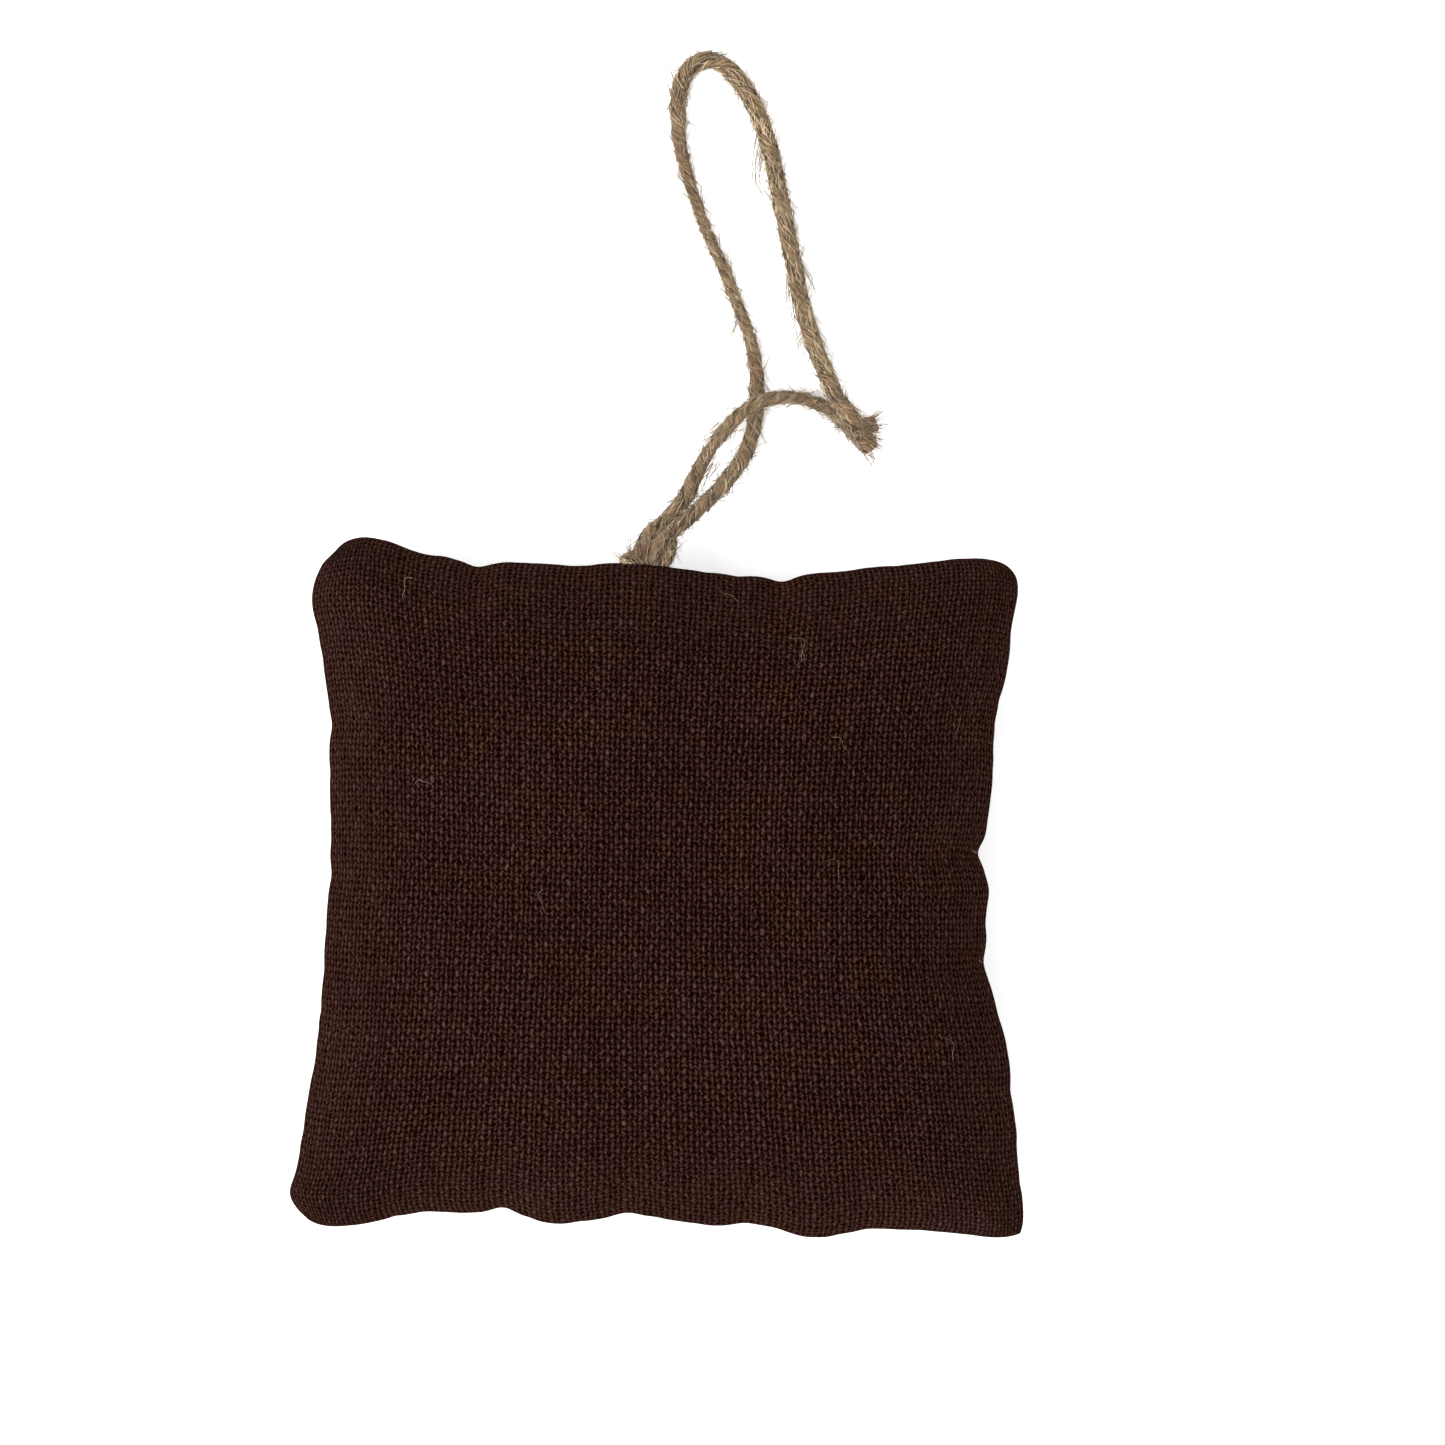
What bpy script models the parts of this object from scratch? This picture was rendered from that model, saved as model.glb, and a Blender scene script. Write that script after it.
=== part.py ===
"""Small square ring pillow with a twine hanging loop.

Two cut panels of dyed plain-weave cloth are sewn together around their edges, turned right side
out, filled, and closed by hand. A length of jute twine is folded, caught in the middle of the top
seam, knotted against it and joined at its two cut ends to make a hanging loop.

The pillow lies on its back: +Z is the front face, +Y is the edge with the twine, and the origin is
under the middle of the pillow, on the surface that it lies on. Lengths are in metres.
"""
import math

import bmesh
import bpy
from mathutils import Vector

MM = 0.001

# Overall size of the filled pillow.
PILLOW_WIDTH = 105.0 * MM
PILLOW_HEIGHT = 100.6 * MM
FRONT_RISE = 16.5 * MM          # crown of the front face above the seam
BACK_DEPTH = 12.5 * MM          # seam above the surface that the back lies on

# Outline: how far each corner stays inside the overall rectangle, and how far each side is
# drawn in by the filling at its middle.
TOP_LEFT_INSET = (3.2 * MM, 0.0)
TOP_RIGHT_INSET = (1.0 * MM, 3.0 * MM)
BOTTOM_LEFT_INSET = (0.0, 1.7 * MM)
BOTTOM_RIGHT_INSET = (0.0, 0.0)
LEFT_DRAW = 5.9 * MM
RIGHT_DRAW = 7.4 * MM
TOP_DRAW = 5.7 * MM
BOTTOM_DRAW = 4.5 * MM
CORNER_BLUNTING = 0.045         # share of the half size that a corner tip is turned in by
BLUNTING_POWER = 10

# Swell of the two faces.
SWELL_POWER = 0.7               # under 1: steep at the seam, gentle in the middle
CORNER_POWER = 4.0              # higher keeps the corners fuller
FLAT_LEVEL = 0.88               # share of the back's depth at which it meets the surface

# Cloth and seam.
CLOTH_THICKNESS = 0.6 * MM
SEAM_ALLOWANCE = 8.0 * MM       # cloth turned in past the seam line
FOLD_WIDTH = 1.2 * MM           # bulk of the turned edge
PANEL_GAP = 0.3 * MM            # between the two panels where they meet
CLEARANCE = 0.3 * MM            # between any two other pieces that touch
FILL_CLEARANCE = 0.7 * MM       # filling to cloth, measured at the mesh's corners
FILL_TO_ALLOWANCE = 0.8 * MM    # filling's side wall to the end of the allowance

# Threads.
SEAM_THREAD_DIAMETER = 0.4 * MM
SEAM_INSET = 3.0 * MM           # stitch line to the outer edge
CLOSING_THREAD_DIAMETER = 0.4 * MM
OPENING_CENTRE = 3.0 * MM       # turning gap on the right side, along the edge
OPENING_LENGTH = 38.0 * MM
CLOSING_STITCH = 3.0 * MM       # along the edge from one face to the other
CLOSING_REACH = 1.0 * MM        # a stitch's height above and below the seam

# Twine.
TWINE_DIAMETER = 2.1 * MM
TWINE_X = -0.9 * MM             # where the twine leaves the top seam
TWINE_POINT_STEP = 2.0          # tube points, in twine diameters
KNOT_RADIUS = 1.9 * MM
KNOT_HALF_LENGTH = 3.4 * MM
BIGHT_HALF_WIDTH = 1.6 * MM     # between the middle of the fold and each strand
BIGHT_DEPTH = 6.0 * MM          # of the fold inside the seam
EYELET_FALL = 4.0 * MM          # width over which the parted seam closes again
EYELET_RAMP = 0.25              # length over which the lift builds up, in grid units
FACE_LIFT_START = 0.75          # grid v where a face starts to lift
ALLOWANCE_LIFT_START = 0.5      # grid v where the allowance's full lift is certain to be reached
JOIN_RADIUS = 1.45 * MM
BIGHT_END_GAP = 0.35 * MM       # from the fold's two ends to the knot outside the seam

# Routes of the two strands outside the seam, from the knot outwards: x and y in millimetres from
# the middle of the knot, height as a share of the knot's own height over the surface, and extra
# height in twine diameters where one strand rides on another.
LONG_STRAND = [
    (2.1, 2.7, 0.97, 0.2), (4.2, 4.6, 0.84, 0.8), (6.8, 6.9, 0.65, 0.7), (10.2, 10.3, 0.43, 0.25),
    (13.1, 14.3, 0.23, 0.0), (14.5, 18.3, 0.08, 0.0), (14.9, 22.3, 0.01, 0.0), (14.9, 26.3, 0.0, 0.0),
    (14.0, 31.1, 0.0, 0.0), (12.6, 35.1, 0.0, 0.0), (10.4, 40.7, 0.0, 0.0), (8.0, 46.0, 0.0, 0.0),
    (6.3, 50.6, 0.0, 0.0), (4.9, 55.1, 0.0, 0.0), (3.9, 59.4, 0.0, 0.0), (3.7, 63.5, 0.0, 0.0),
    (4.0, 67.0, 0.0, 0.0), (5.3, 69.8, 0.0, 0.0), (8.0, 71.1, 0.0, 0.0), (10.8, 69.9, 0.0, 0.0),
    (13.1, 67.2, 0.0, 0.0), (15.1, 63.3, 0.0, 0.0), (16.8, 58.5, 0.0, 0.0), (18.0, 52.8, 0.0, 0.0),
    (19.2, 47.1, 0.0, 0.0), (20.2, 41.8, 0.0, 0.0), (21.4, 36.4, 0.0, 0.0), (22.6, 32.1, 0.0, 0.0),
    (24.3, 27.5, 0.0, 0.3), (25.8, 23.9, 0.0, 0.8), (27.2, 21.2, 0.0, 1.1)]
SHORT_STRAND = [
    (-0.4, 3.1, 0.9, 0.0), (1.9, 5.0, 0.78, 0.0), (4.5, 8.0, 0.62, 0.0), (5.9, 10.9, 0.44, 0.2),
    (7.6, 14.1, 0.27, 0.55), (9.9, 17.5, 0.13, 0.85), (12.6, 20.3, 0.05, 1.2), (15.3, 22.0, 0.0, 1.4),
    (18.1, 22.7, 0.0, 0.9), (21.1, 22.6, 0.0, 0.3), (23.9, 21.8, 0.0, 0.0), (26.7, 20.2, 0.0, 0.0)]

# Middles of the joined ends' two round caps: the first beside the strands' ends, in the same
# terms, and the second, x and y only, lying on the surface.
JOIN_START = (28.9, 19.2, 0.0, 0.5)
JOIN_END = (31.0, 15.9)

# Surface grid of the panels and the filling.
GRID_CELLS = 18                 # cells across a panel before the eyelet's own lines
EYELET_LINE_ROOM = 0.05         # no ordinary line comes this near to the eyelet's, in grid units
EDGE_CROWDING = 0.35            # how much the cells narrow towards the edge
SLOPE_STEP = 0.02               # reach of the surface's slope measurement, in grid units

CLOTH_COLOUR = (0.027, 0.0103, 0.0086, 1.0)
THREAD_COLOUR = (0.030, 0.014, 0.011, 1.0)
FILL_COLOUR = (0.80, 0.79, 0.76, 1.0)
TWINE_COLOUR = (0.27, 0.19, 0.122, 1.0)


def clear_scene():
    """Remove the objects that a new Blender scene starts with."""
    for old in list(bpy.data.objects):
        bpy.data.objects.remove(old, do_unlink=True)


def make_material(name, colour, roughness):
    """A plain Principled material."""
    material = bpy.data.materials.new(name)
    material.use_nodes = True
    shader = material.node_tree.nodes["Principled BSDF"]
    shader.inputs["Base Color"].default_value = colour
    shader.inputs["Roughness"].default_value = roughness
    shader.inputs["Metallic"].default_value = 0.0
    return material


def mix(low, high, share):
    """Value a share of the way from low to high."""
    return low + (high - low) * share


def smooth_step(low, high, value):
    """0 below low, 1 above high, and a smooth ramp between."""
    share = min(1.0, max(0.0, (value - low) / (high - low)))
    return share * share * (3.0 - 2.0 * share)


def drawn_outline(u, v):
    """Square grid point (u, v), each from -1 to 1, moved to the pillow's drawn-in outline."""
    tip = 1.0 - CORNER_BLUNTING * abs(u * v) ** BLUNTING_POWER
    u, v = u * tip, v * tip
    half_width, half_height = PILLOW_WIDTH / 2, PILLOW_HEIGHT / 2
    across, up = (u + 1) / 2, (v + 1) / 2
    left = mix(-half_width + BOTTOM_LEFT_INSET[0], -half_width + TOP_LEFT_INSET[0], up)
    right = mix(half_width - BOTTOM_RIGHT_INSET[0], half_width - TOP_RIGHT_INSET[0], up)
    bottom = mix(-half_height + BOTTOM_LEFT_INSET[1], -half_height + BOTTOM_RIGHT_INSET[1], across)
    top = mix(half_height - TOP_LEFT_INSET[1], half_height - TOP_RIGHT_INSET[1], across)
    left += LEFT_DRAW * (1 - v * v)
    right -= RIGHT_DRAW * (1 - v * v)
    bottom += BOTTOM_DRAW * (1 - u * u)
    top -= TOP_DRAW * (1 - u * u)
    return mix(left, right, across), mix(bottom, top, up)


def outline_box():
    """Lowest and highest x and y that the drawn outline reaches."""
    steps = [i / 100 for i in range(-100, 101)]
    rim = [drawn_outline(s, side) for s in steps for side in (-1, 1)]
    rim += [drawn_outline(side, s) for s in steps for side in (-1, 1)]
    xs = [p[0] for p in rim]
    ys = [p[1] for p in rim]
    return min(xs), max(xs), min(ys), max(ys)


OUTLINE_BOX = outline_box()


def plan_point(u, v):
    """Grid point on the pillow's plan, centred and sized to the overall width and height."""
    x, y = drawn_outline(u, v)
    x_low, x_high, y_low, y_high = OUTLINE_BOX
    x = (x - (x_low + x_high) / 2) * PILLOW_WIDTH / (x_high - x_low)
    y = (y - (y_low + y_high) / 2) * PILLOW_HEIGHT / (y_high - y_low)
    return x, y


def grid_u_at(x, v):
    """Grid u whose plan point lies at x on the line of constant v, found by bisection."""
    low, high = -1.0, 1.0
    for _ in range(40):
        middle = (low + high) / 2
        if plan_point(middle, v)[0] < x:
            low = middle
        else:
            high = middle
    return (low + high) / 2


def grid_v_at(y, u):
    """Grid v whose plan point lies at y on the line of constant u, found by bisection."""
    low, high = -1.0, 1.0
    for _ in range(40):
        middle = (low + high) / 2
        if plan_point(u, middle)[1] < y:
            low = middle
        else:
            high = middle
    return (low + high) / 2


EYELET_HALF_WIDTH = BIGHT_HALF_WIDTH + TWINE_DIAMETER / 2 + CLEARANCE
EYELET_LIFT = TWINE_DIAMETER / 2 + CLEARANCE - PANEL_GAP / 2


def eyelet_lift(x, v, v_start):
    """How far one panel's edge parts from the seam plane to let the twine through.

    The lift is for the top edge alone, and builds up over EYELET_RAMP from v_start.
    """
    beside = (abs(x - TWINE_X) - EYELET_HALF_WIDTH) / EYELET_FALL
    lift = EYELET_LIFT * (1.0 - min(1.0, max(0.0, beside)))
    return lift * smooth_step(v_start, v_start + EYELET_RAMP, v)


def swell(u, v):
    """Height of a full face over the seam, as a share of its crown."""
    across = max(0.0, 1 - u * u) ** SWELL_POWER
    up = max(0.0, 1 - v * v) ** SWELL_POWER
    if min(across, up) == 0.0:
        return 0.0
    return ((across ** -CORNER_POWER + up ** -CORNER_POWER) / 2) ** (-1 / CORNER_POWER)


def face_point(u, v, side):
    """Point on the outer skin of the front (side 1) or back (side -1) panel."""
    x, y = plan_point(u, v)
    edge = PANEL_GAP / 2 + eyelet_lift(x, v, FACE_LIFT_START)
    if side > 0:
        height = edge + (FRONT_RISE - PANEL_GAP / 2) * swell(u, v)
    else:
        height = edge + (BACK_DEPTH - PANEL_GAP / 2) * swell(u, v) / FLAT_LEVEL
        height = min(height, BACK_DEPTH)
    return Vector((x, y, BACK_DEPTH + side * height))


def face_normal(u, v, side):
    """Unit normal of the outer skin, pointing out of the pillow."""
    reach = 1.0 - SLOPE_STEP
    u, v = min(reach, max(-reach, u)), min(reach, max(-reach, v))
    along_u = face_point(u + SLOPE_STEP, v, side) - face_point(u - SLOPE_STEP, v, side)
    along_v = face_point(u, v + SLOPE_STEP, side) - face_point(u, v - SLOPE_STEP, side)
    return along_u.cross(along_v).normalized() * side


def inset_point(u, v, side, depth):
    """Point inside the pillow at a depth under the outer skin."""
    return face_point(u, v, side) - face_normal(u, v, side) * depth


def inset_share(distance):
    """Scale that moves a grid point at the edge inwards by a distance."""
    return 1.0 - distance / ((PILLOW_WIDTH + PILLOW_HEIGHT) / 4)


def grid_lines():
    """The panels' u and v grid lines: crowded at the edge, with extra lines at the eyelet."""
    steps = [2 * i / GRID_CELLS - 1 for i in range(GRID_CELLS + 1)]
    plain = [t * (1 + EDGE_CROWDING - EDGE_CROWDING * t * t) for t in steps]
    offsets = [EYELET_HALF_WIDTH, EYELET_HALF_WIDTH + EYELET_FALL / 2, EYELET_HALF_WIDTH + EYELET_FALL]
    eyelet = [grid_u_at(TWINE_X + side * offset, 1.0) for side in (-1, 1) for offset in offsets]
    near = min(eyelet) - EYELET_LINE_ROOM, max(eyelet) + EYELET_LINE_ROOM
    across = [u for u in plain if not near[0] < u < near[1]] + eyelet
    return sorted(across), plain


U_LINES, V_LINES = grid_lines()


def add_grid(mesh, place, scale=1.0):
    """Add a grid of vertices at place(u, v), joined by quads; returns the rows of vertices."""
    rows = [[mesh.verts.new(place(u * scale, v * scale)) for u in U_LINES] for v in V_LINES]
    for lower, upper in zip(rows, rows[1:]):
        for i in range(len(lower) - 1):
            mesh.faces.new((lower[i], lower[i + 1], upper[i + 1], upper[i]))
    return rows


def rim_of(rows):
    """The outer vertices of a grid, in order around it."""
    bottom = rows[0][:-1]
    right = [row[-1] for row in rows[:-1]]
    top = rows[-1][:0:-1]
    left = [row[0] for row in rows[:0:-1]]
    return bottom + right + top + left


def rim_parameters():
    """The (u, v) of each rim vertex, in the same order."""
    rows = [[(u, v) for u in U_LINES] for v in V_LINES]
    return rim_of(rows)


def add_ring(mesh, place, scale):
    """Add a ring of vertices at place(u, v) for the rim scaled towards the middle."""
    return [mesh.verts.new(place(u * scale, v * scale)) for u, v in rim_parameters()]


def join_rings(mesh, ring_a, ring_b):
    """Join two rings of equal length with quads."""
    count = len(ring_a)
    for i in range(count):
        j = (i + 1) % count
        mesh.faces.new((ring_a[i], ring_a[j], ring_b[j], ring_b[i]))


def finish_mesh(mesh, name, colour, roughness):
    """Turn a bmesh into a named object with its own material and outward faces."""
    bmesh.ops.recalc_face_normals(mesh, faces=mesh.faces)
    if mesh.calc_volume(signed=True) < 0:
        bmesh.ops.reverse_faces(mesh, faces=mesh.faces)
    data = bpy.data.meshes.new(name)
    mesh.to_mesh(data)
    mesh.free()
    data.shade_smooth()
    data.set_sharp_from_angle(angle=math.radians(40))
    data.materials.append(make_material(name, colour, roughness))
    piece = bpy.data.objects.new(name, data)
    bpy.context.scene.collection.objects.link(piece)
    return piece


def make_panel(name, side):
    """One cloth panel: its swollen face, and the seam allowance turned in along the seam."""
    mesh = bmesh.new()

    def allowance(height):
        def place(u, v):
            x, y = plan_point(u, v)
            lift = PANEL_GAP / 2 + eyelet_lift(x, v, ALLOWANCE_LIFT_START) + height
            return Vector((x, y, BACK_DEPTH + side * lift))
        return place

    fold = inset_share(FOLD_WIDTH)
    allowance_end = inset_share(SEAM_ALLOWANCE)
    outer = add_grid(mesh, lambda u, v: face_point(u, v, side))
    under_end = add_ring(mesh, allowance(0.0), allowance_end)
    over_end = add_ring(mesh, allowance(CLOTH_THICKNESS), allowance_end)
    inner = add_grid(mesh, lambda u, v: inset_point(u, v, side, CLOTH_THICKNESS), fold)
    inner_rim = rim_of(inner)
    over_fold = []
    for (u, v), vertex in zip(rim_parameters(), inner_rim):
        x, y = plan_point(u * fold, v * fold)
        top = PANEL_GAP / 2 + eyelet_lift(x, v * fold, ALLOWANCE_LIFT_START) + CLOTH_THICKNESS
        over_fold.append(mesh.verts.new((vertex.co.x, vertex.co.y, BACK_DEPTH + side * top)))
    join_rings(mesh, rim_of(outer), under_end)
    join_rings(mesh, under_end, over_end)
    join_rings(mesh, over_end, over_fold)
    join_rings(mesh, over_fold, inner_rim)
    return finish_mesh(mesh, name, CLOTH_COLOUR, 0.9)


def make_filling():
    """The fibre filling: one soft block that fills both faces inside the seam allowance."""
    mesh = bmesh.new()
    scale = inset_share(SEAM_ALLOWANCE + FILL_TO_ALLOWANCE)
    depth = CLOTH_THICKNESS + FILL_CLEARANCE
    front = add_grid(mesh, lambda u, v: inset_point(u, v, 1, depth), scale)
    back = add_grid(mesh, lambda u, v: inset_point(u, v, -1, depth), scale)
    join_rings(mesh, rim_of(front), rim_of(back))
    return finish_mesh(mesh, "filling", FILL_COLOUR, 1.0)


def make_tube(name, points, diameter, colour, resolution=2, parent=None):
    """A round thread or cord: a capped tube along a list of points."""
    curve = bpy.data.curves.new(name, "CURVE")
    curve.dimensions = "3D"
    curve.bevel_depth = diameter / 2
    curve.bevel_resolution = resolution
    curve.use_fill_caps = True
    spline = curve.splines.new("POLY")
    spline.points.add(len(points) - 1)
    for target, point in zip(spline.points, points):
        target.co = (*point, 1.0)
    curve.materials.append(make_material(name, colour, 0.85))
    piece = bpy.data.objects.new(name, curve)
    bpy.context.scene.collection.objects.link(piece)
    piece.parent = parent
    return piece


def seam_path(inset):
    """Grid points along the seam line, from above the turning gap the long way round to below it.

    They lie on the panels' own grid lines, so the thread follows every facet of the allowance.
    """
    scale = inset_share(inset)
    middle = grid_v_at(OPENING_CENTRE, 1.0)
    gap_low = middle - OPENING_LENGTH / PILLOW_HEIGHT
    gap_high = middle + OPENING_LENGTH / PILLOW_HEIGHT
    rim = rim_parameters()
    above = [p for p in rim if p[0] == rim[len(U_LINES) - 1][0] and p[1] > gap_high]
    below = [p for p in rim if p[0] == rim[len(U_LINES) - 1][0] and p[1] < gap_low]
    first = rim.index(above[0])
    last = rim.index(below[-1])
    path = [(1.0, gap_high)] + rim[first:] + rim[:last + 1] + [(1.0, gap_low)]
    return [(u * scale, v * scale) for u, v in path]


def make_seam_thread(name, side):
    """The needle (side 1) or bobbin (side -1) thread, lying on the turned-in allowance."""
    above = PANEL_GAP / 2 + CLOTH_THICKNESS + CLEARANCE + SEAM_THREAD_DIAMETER / 2
    points = []
    for u, v in seam_path(SEAM_INSET):
        x, y = plan_point(u, v)
        points.append(Vector((x, y, BACK_DEPTH + side * (above + eyelet_lift(x, v, ALLOWANCE_LIFT_START)))))
    return make_tube(name, points, SEAM_THREAD_DIAMETER, THREAD_COLOUR, resolution=1)


def make_closing_thread():
    """Hand stitches that close the turning gap, passing over the edge from face to face."""
    outward = CLEARANCE + CLOSING_THREAD_DIAMETER / 2
    count = round(OPENING_LENGTH / CLOSING_STITCH)
    points = []
    for i in range(count + 1):
        y = OPENING_CENTRE - OPENING_LENGTH / 2 + OPENING_LENGTH * i / count
        x, y = plan_point(1.0, grid_v_at(y, 1.0))
        side = 1 if i % 2 else -1
        points.append(Vector((x + outward, y, BACK_DEPTH + side * CLOSING_REACH)))
    return make_tube("closing_thread", points, CLOSING_THREAD_DIAMETER, THREAD_COLOUR, resolution=1)


def knot_centre():
    """Middle of the seam knot: just outside the top edge, at the height of the seam."""
    reach = [TWINE_X + KNOT_HALF_LENGTH * i / 4 for i in range(-4, 5)]
    edge = max(plan_point(grid_u_at(x, 1.0), 1.0)[1] for x in reach)
    return Vector((TWINE_X, edge + CLEARANCE + KNOT_RADIUS, BACK_DEPTH))


def make_seam_knot(centre):
    """The knot pulled tight against the seam: round about the axis that the loop swings on."""
    mesh = bmesh.new()
    bmesh.ops.create_uvsphere(mesh, u_segments=20, v_segments=12, radius=1.0)
    for vertex in mesh.verts:
        x, y, z = vertex.co
        vertex.co = centre + Vector((z * KNOT_HALF_LENGTH, x * KNOT_RADIUS, y * KNOT_RADIUS))
    return finish_mesh(mesh, "seam_knot", TWINE_COLOUR, 0.9)


def make_twine_bight(centre):
    """The folded twine caught between the two panels in the top seam."""
    mouth = centre.y - KNOT_RADIUS - BIGHT_END_GAP
    turn = mouth - BIGHT_DEPTH + BIGHT_HALF_WIDTH + TWINE_DIAMETER / 2
    points = [Vector((TWINE_X - BIGHT_HALF_WIDTH, mouth, BACK_DEPTH))]
    for i in range(9):
        angle = math.pi * (1 + i / 8)
        x = TWINE_X + BIGHT_HALF_WIDTH * math.cos(angle)
        points.append(Vector((x, turn + BIGHT_HALF_WIDTH * math.sin(angle), BACK_DEPTH)))
    points.append(Vector((TWINE_X + BIGHT_HALF_WIDTH, mouth, BACK_DEPTH)))
    return make_tube("twine_bight", points, TWINE_DIAMETER, TWINE_COLOUR)


def route_point(entry, centre):
    """A route entry as a point measured from the knot's middle."""
    x, y, share, riding = entry
    height = TWINE_DIAMETER / 2 + share * (centre.z - TWINE_DIAMETER / 2) + riding * TWINE_DIAMETER
    return Vector((x * MM, y * MM, height - centre.z))


def spline_position(points, position):
    """Point on the Catmull-Rom curve through points, position counted in points."""
    index = min(int(position), len(points) - 2)
    t = position - index
    p1, p2 = points[index], points[index + 1]
    p0 = points[index - 1] if index > 0 else p1 * 2 - p2
    p3 = points[index + 2] if index + 2 < len(points) else p2 * 2 - p1
    line = p1 * 2 + (p2 - p0) * t
    bend = (p0 * 2 - p1 * 5 + p2 * 4 - p3) * t * t
    twist = (p1 * 3 - p0 - p2 * 3 + p3) * t * t * t
    return (line + bend + twist) / 2


def smooth_route(points, step):
    """Evenly spaced points on the smooth curve through the route."""
    fine = [spline_position(points, i / 20) for i in range(20 * (len(points) - 1) + 1)]
    travelled = [0.0]
    for a, b in zip(fine, fine[1:]):
        travelled.append(travelled[-1] + (b - a).length)
    count = max(2, round(travelled[-1] / step))
    route = []
    index = 0
    for i in range(count + 1):
        wanted = travelled[-1] * i / count
        while index < len(fine) - 2 and travelled[index + 1] < wanted:
            index += 1
        span = travelled[index + 1] - travelled[index]
        route.append(fine[index].lerp(fine[index + 1], (wanted - travelled[index]) / span))
    return route


def make_strand(name, entries, centre, pivot):
    """One free strand of the twine, from the seam knot to the joined ends."""
    route = [route_point(entry, centre) for entry in entries]
    points = smooth_route(route, TWINE_POINT_STEP * TWINE_DIAMETER)
    return make_tube(name, points, TWINE_DIAMETER, TWINE_COLOUR, parent=pivot)


def make_end_join(centre, pivot):
    """The two cut ends lapped and bound together: a short round-ended bundle."""
    start = route_point(JOIN_START, centre)
    end = Vector((JOIN_END[0] * MM, JOIN_END[1] * MM, JOIN_RADIUS - centre.z))
    axis = (end - start).normalized()
    turn = Vector((0, 0, 1)).rotation_difference(axis)
    mesh = bmesh.new()
    bmesh.ops.create_uvsphere(mesh, u_segments=16, v_segments=10, radius=JOIN_RADIUS)
    for vertex in mesh.verts:
        half = end if vertex.co.z > 0 else start
        vertex.co = turn @ vertex.co + half
    piece = finish_mesh(mesh, "end_join", TWINE_COLOUR, 0.9)
    piece.parent = pivot
    return piece


def make_pivot(centre):
    """The axis across the seam knot that the hanging loop swings about."""
    pivot = bpy.data.objects.new("loop_pivot", None)
    pivot.location = centre
    bpy.context.scene.collection.objects.link(pivot)
    return pivot


def main():
    """Build every piece of the pillow."""
    clear_scene()
    make_panel("front_panel", 1)
    make_panel("back_panel", -1)
    make_filling()
    make_seam_thread("needle_thread", 1)
    make_seam_thread("bobbin_thread", -1)
    make_closing_thread()
    centre = knot_centre()
    make_seam_knot(centre)
    make_twine_bight(centre)
    pivot = make_pivot(centre)
    make_strand("long_strand", LONG_STRAND, centre, pivot)
    make_strand("short_strand", SHORT_STRAND, centre, pivot)
    make_end_join(centre, pivot)


main()
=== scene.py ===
"""Looks of the ring bearer pillow on its CAD frame: a small plump cushion of dark burlap with a
loop of two-ply twine tied into its top seam. Sizes are in metres in the row frame: the cushion
lies on its back at z = 0, its front face looks up and the loop lies beyond its top edge, +Y."""

import functools
import math

import bpy
import numpy as np
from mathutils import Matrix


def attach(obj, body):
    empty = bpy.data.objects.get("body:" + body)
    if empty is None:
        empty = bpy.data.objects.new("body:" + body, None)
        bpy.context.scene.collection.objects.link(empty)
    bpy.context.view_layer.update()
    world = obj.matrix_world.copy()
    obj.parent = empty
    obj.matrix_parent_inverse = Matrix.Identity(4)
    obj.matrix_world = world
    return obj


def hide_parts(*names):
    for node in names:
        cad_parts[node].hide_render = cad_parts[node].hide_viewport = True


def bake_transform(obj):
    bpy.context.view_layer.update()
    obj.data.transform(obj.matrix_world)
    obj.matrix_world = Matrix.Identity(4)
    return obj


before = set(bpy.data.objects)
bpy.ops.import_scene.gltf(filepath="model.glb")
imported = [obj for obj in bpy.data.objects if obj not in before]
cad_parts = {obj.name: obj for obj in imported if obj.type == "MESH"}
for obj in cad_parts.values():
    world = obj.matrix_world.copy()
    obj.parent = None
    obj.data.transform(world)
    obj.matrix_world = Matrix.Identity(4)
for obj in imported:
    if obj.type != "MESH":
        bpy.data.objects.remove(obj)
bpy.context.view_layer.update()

MM = 0.001
SEAM_LEVEL = 12.5 * MM          # height of the seam's plane
rng = np.random.default_rng(20)


def add_object(name, data):
    """A new object of the scene."""
    made = bpy.data.objects.new(name, data)
    bpy.context.scene.collection.objects.link(made)
    return made


# ---------------- camera

VIEW_WIDTH = 206.43 * MM        # width in view at the seam's level
VIEW_MIDDLE = (9.143 * MM, 23.64 * MM)
CAMERA_DISTANCE = 4.0           # from the seam's level, as through a long lens
SENSOR_WIDTH = 36.0             # in millimetres


def add_camera():
    """The camera looks straight down on the front face."""
    data = bpy.data.cameras.new("camera")
    data.sensor_width = SENSOR_WIDTH
    data.lens = SENSOR_WIDTH * CAMERA_DISTANCE / VIEW_WIDTH
    camera = add_object("camera", data)
    camera.location = (*VIEW_MIDDLE, SEAM_LEVEL + CAMERA_DISTANCE)
    bpy.context.scene.camera = camera


# ---------------- meshes

CURVE_STEPS = 20                # between two of the points a curve is given by


def mesh_object(name, verts, faces):
    """A smooth-shaded mesh object. A quad that names a vertex twice becomes a triangle."""
    mesh = bpy.data.meshes.new(name)
    mesh.from_pydata(np.asarray(verts).tolist(), [], [tuple(dict.fromkeys(f)) for f in faces.tolist()])
    mesh.update()
    mesh.shade_smooth()
    return add_object(name, mesh)


def set_attribute(piece, name, vectors):
    """Gives each point of a piece's mesh a vector, for its material."""
    layer = piece.data.attributes.new(name, "FLOAT_VECTOR", "POINT")
    layer.data.foreach_set("vector", np.asarray(vectors, np.float32).ravel())


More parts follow.
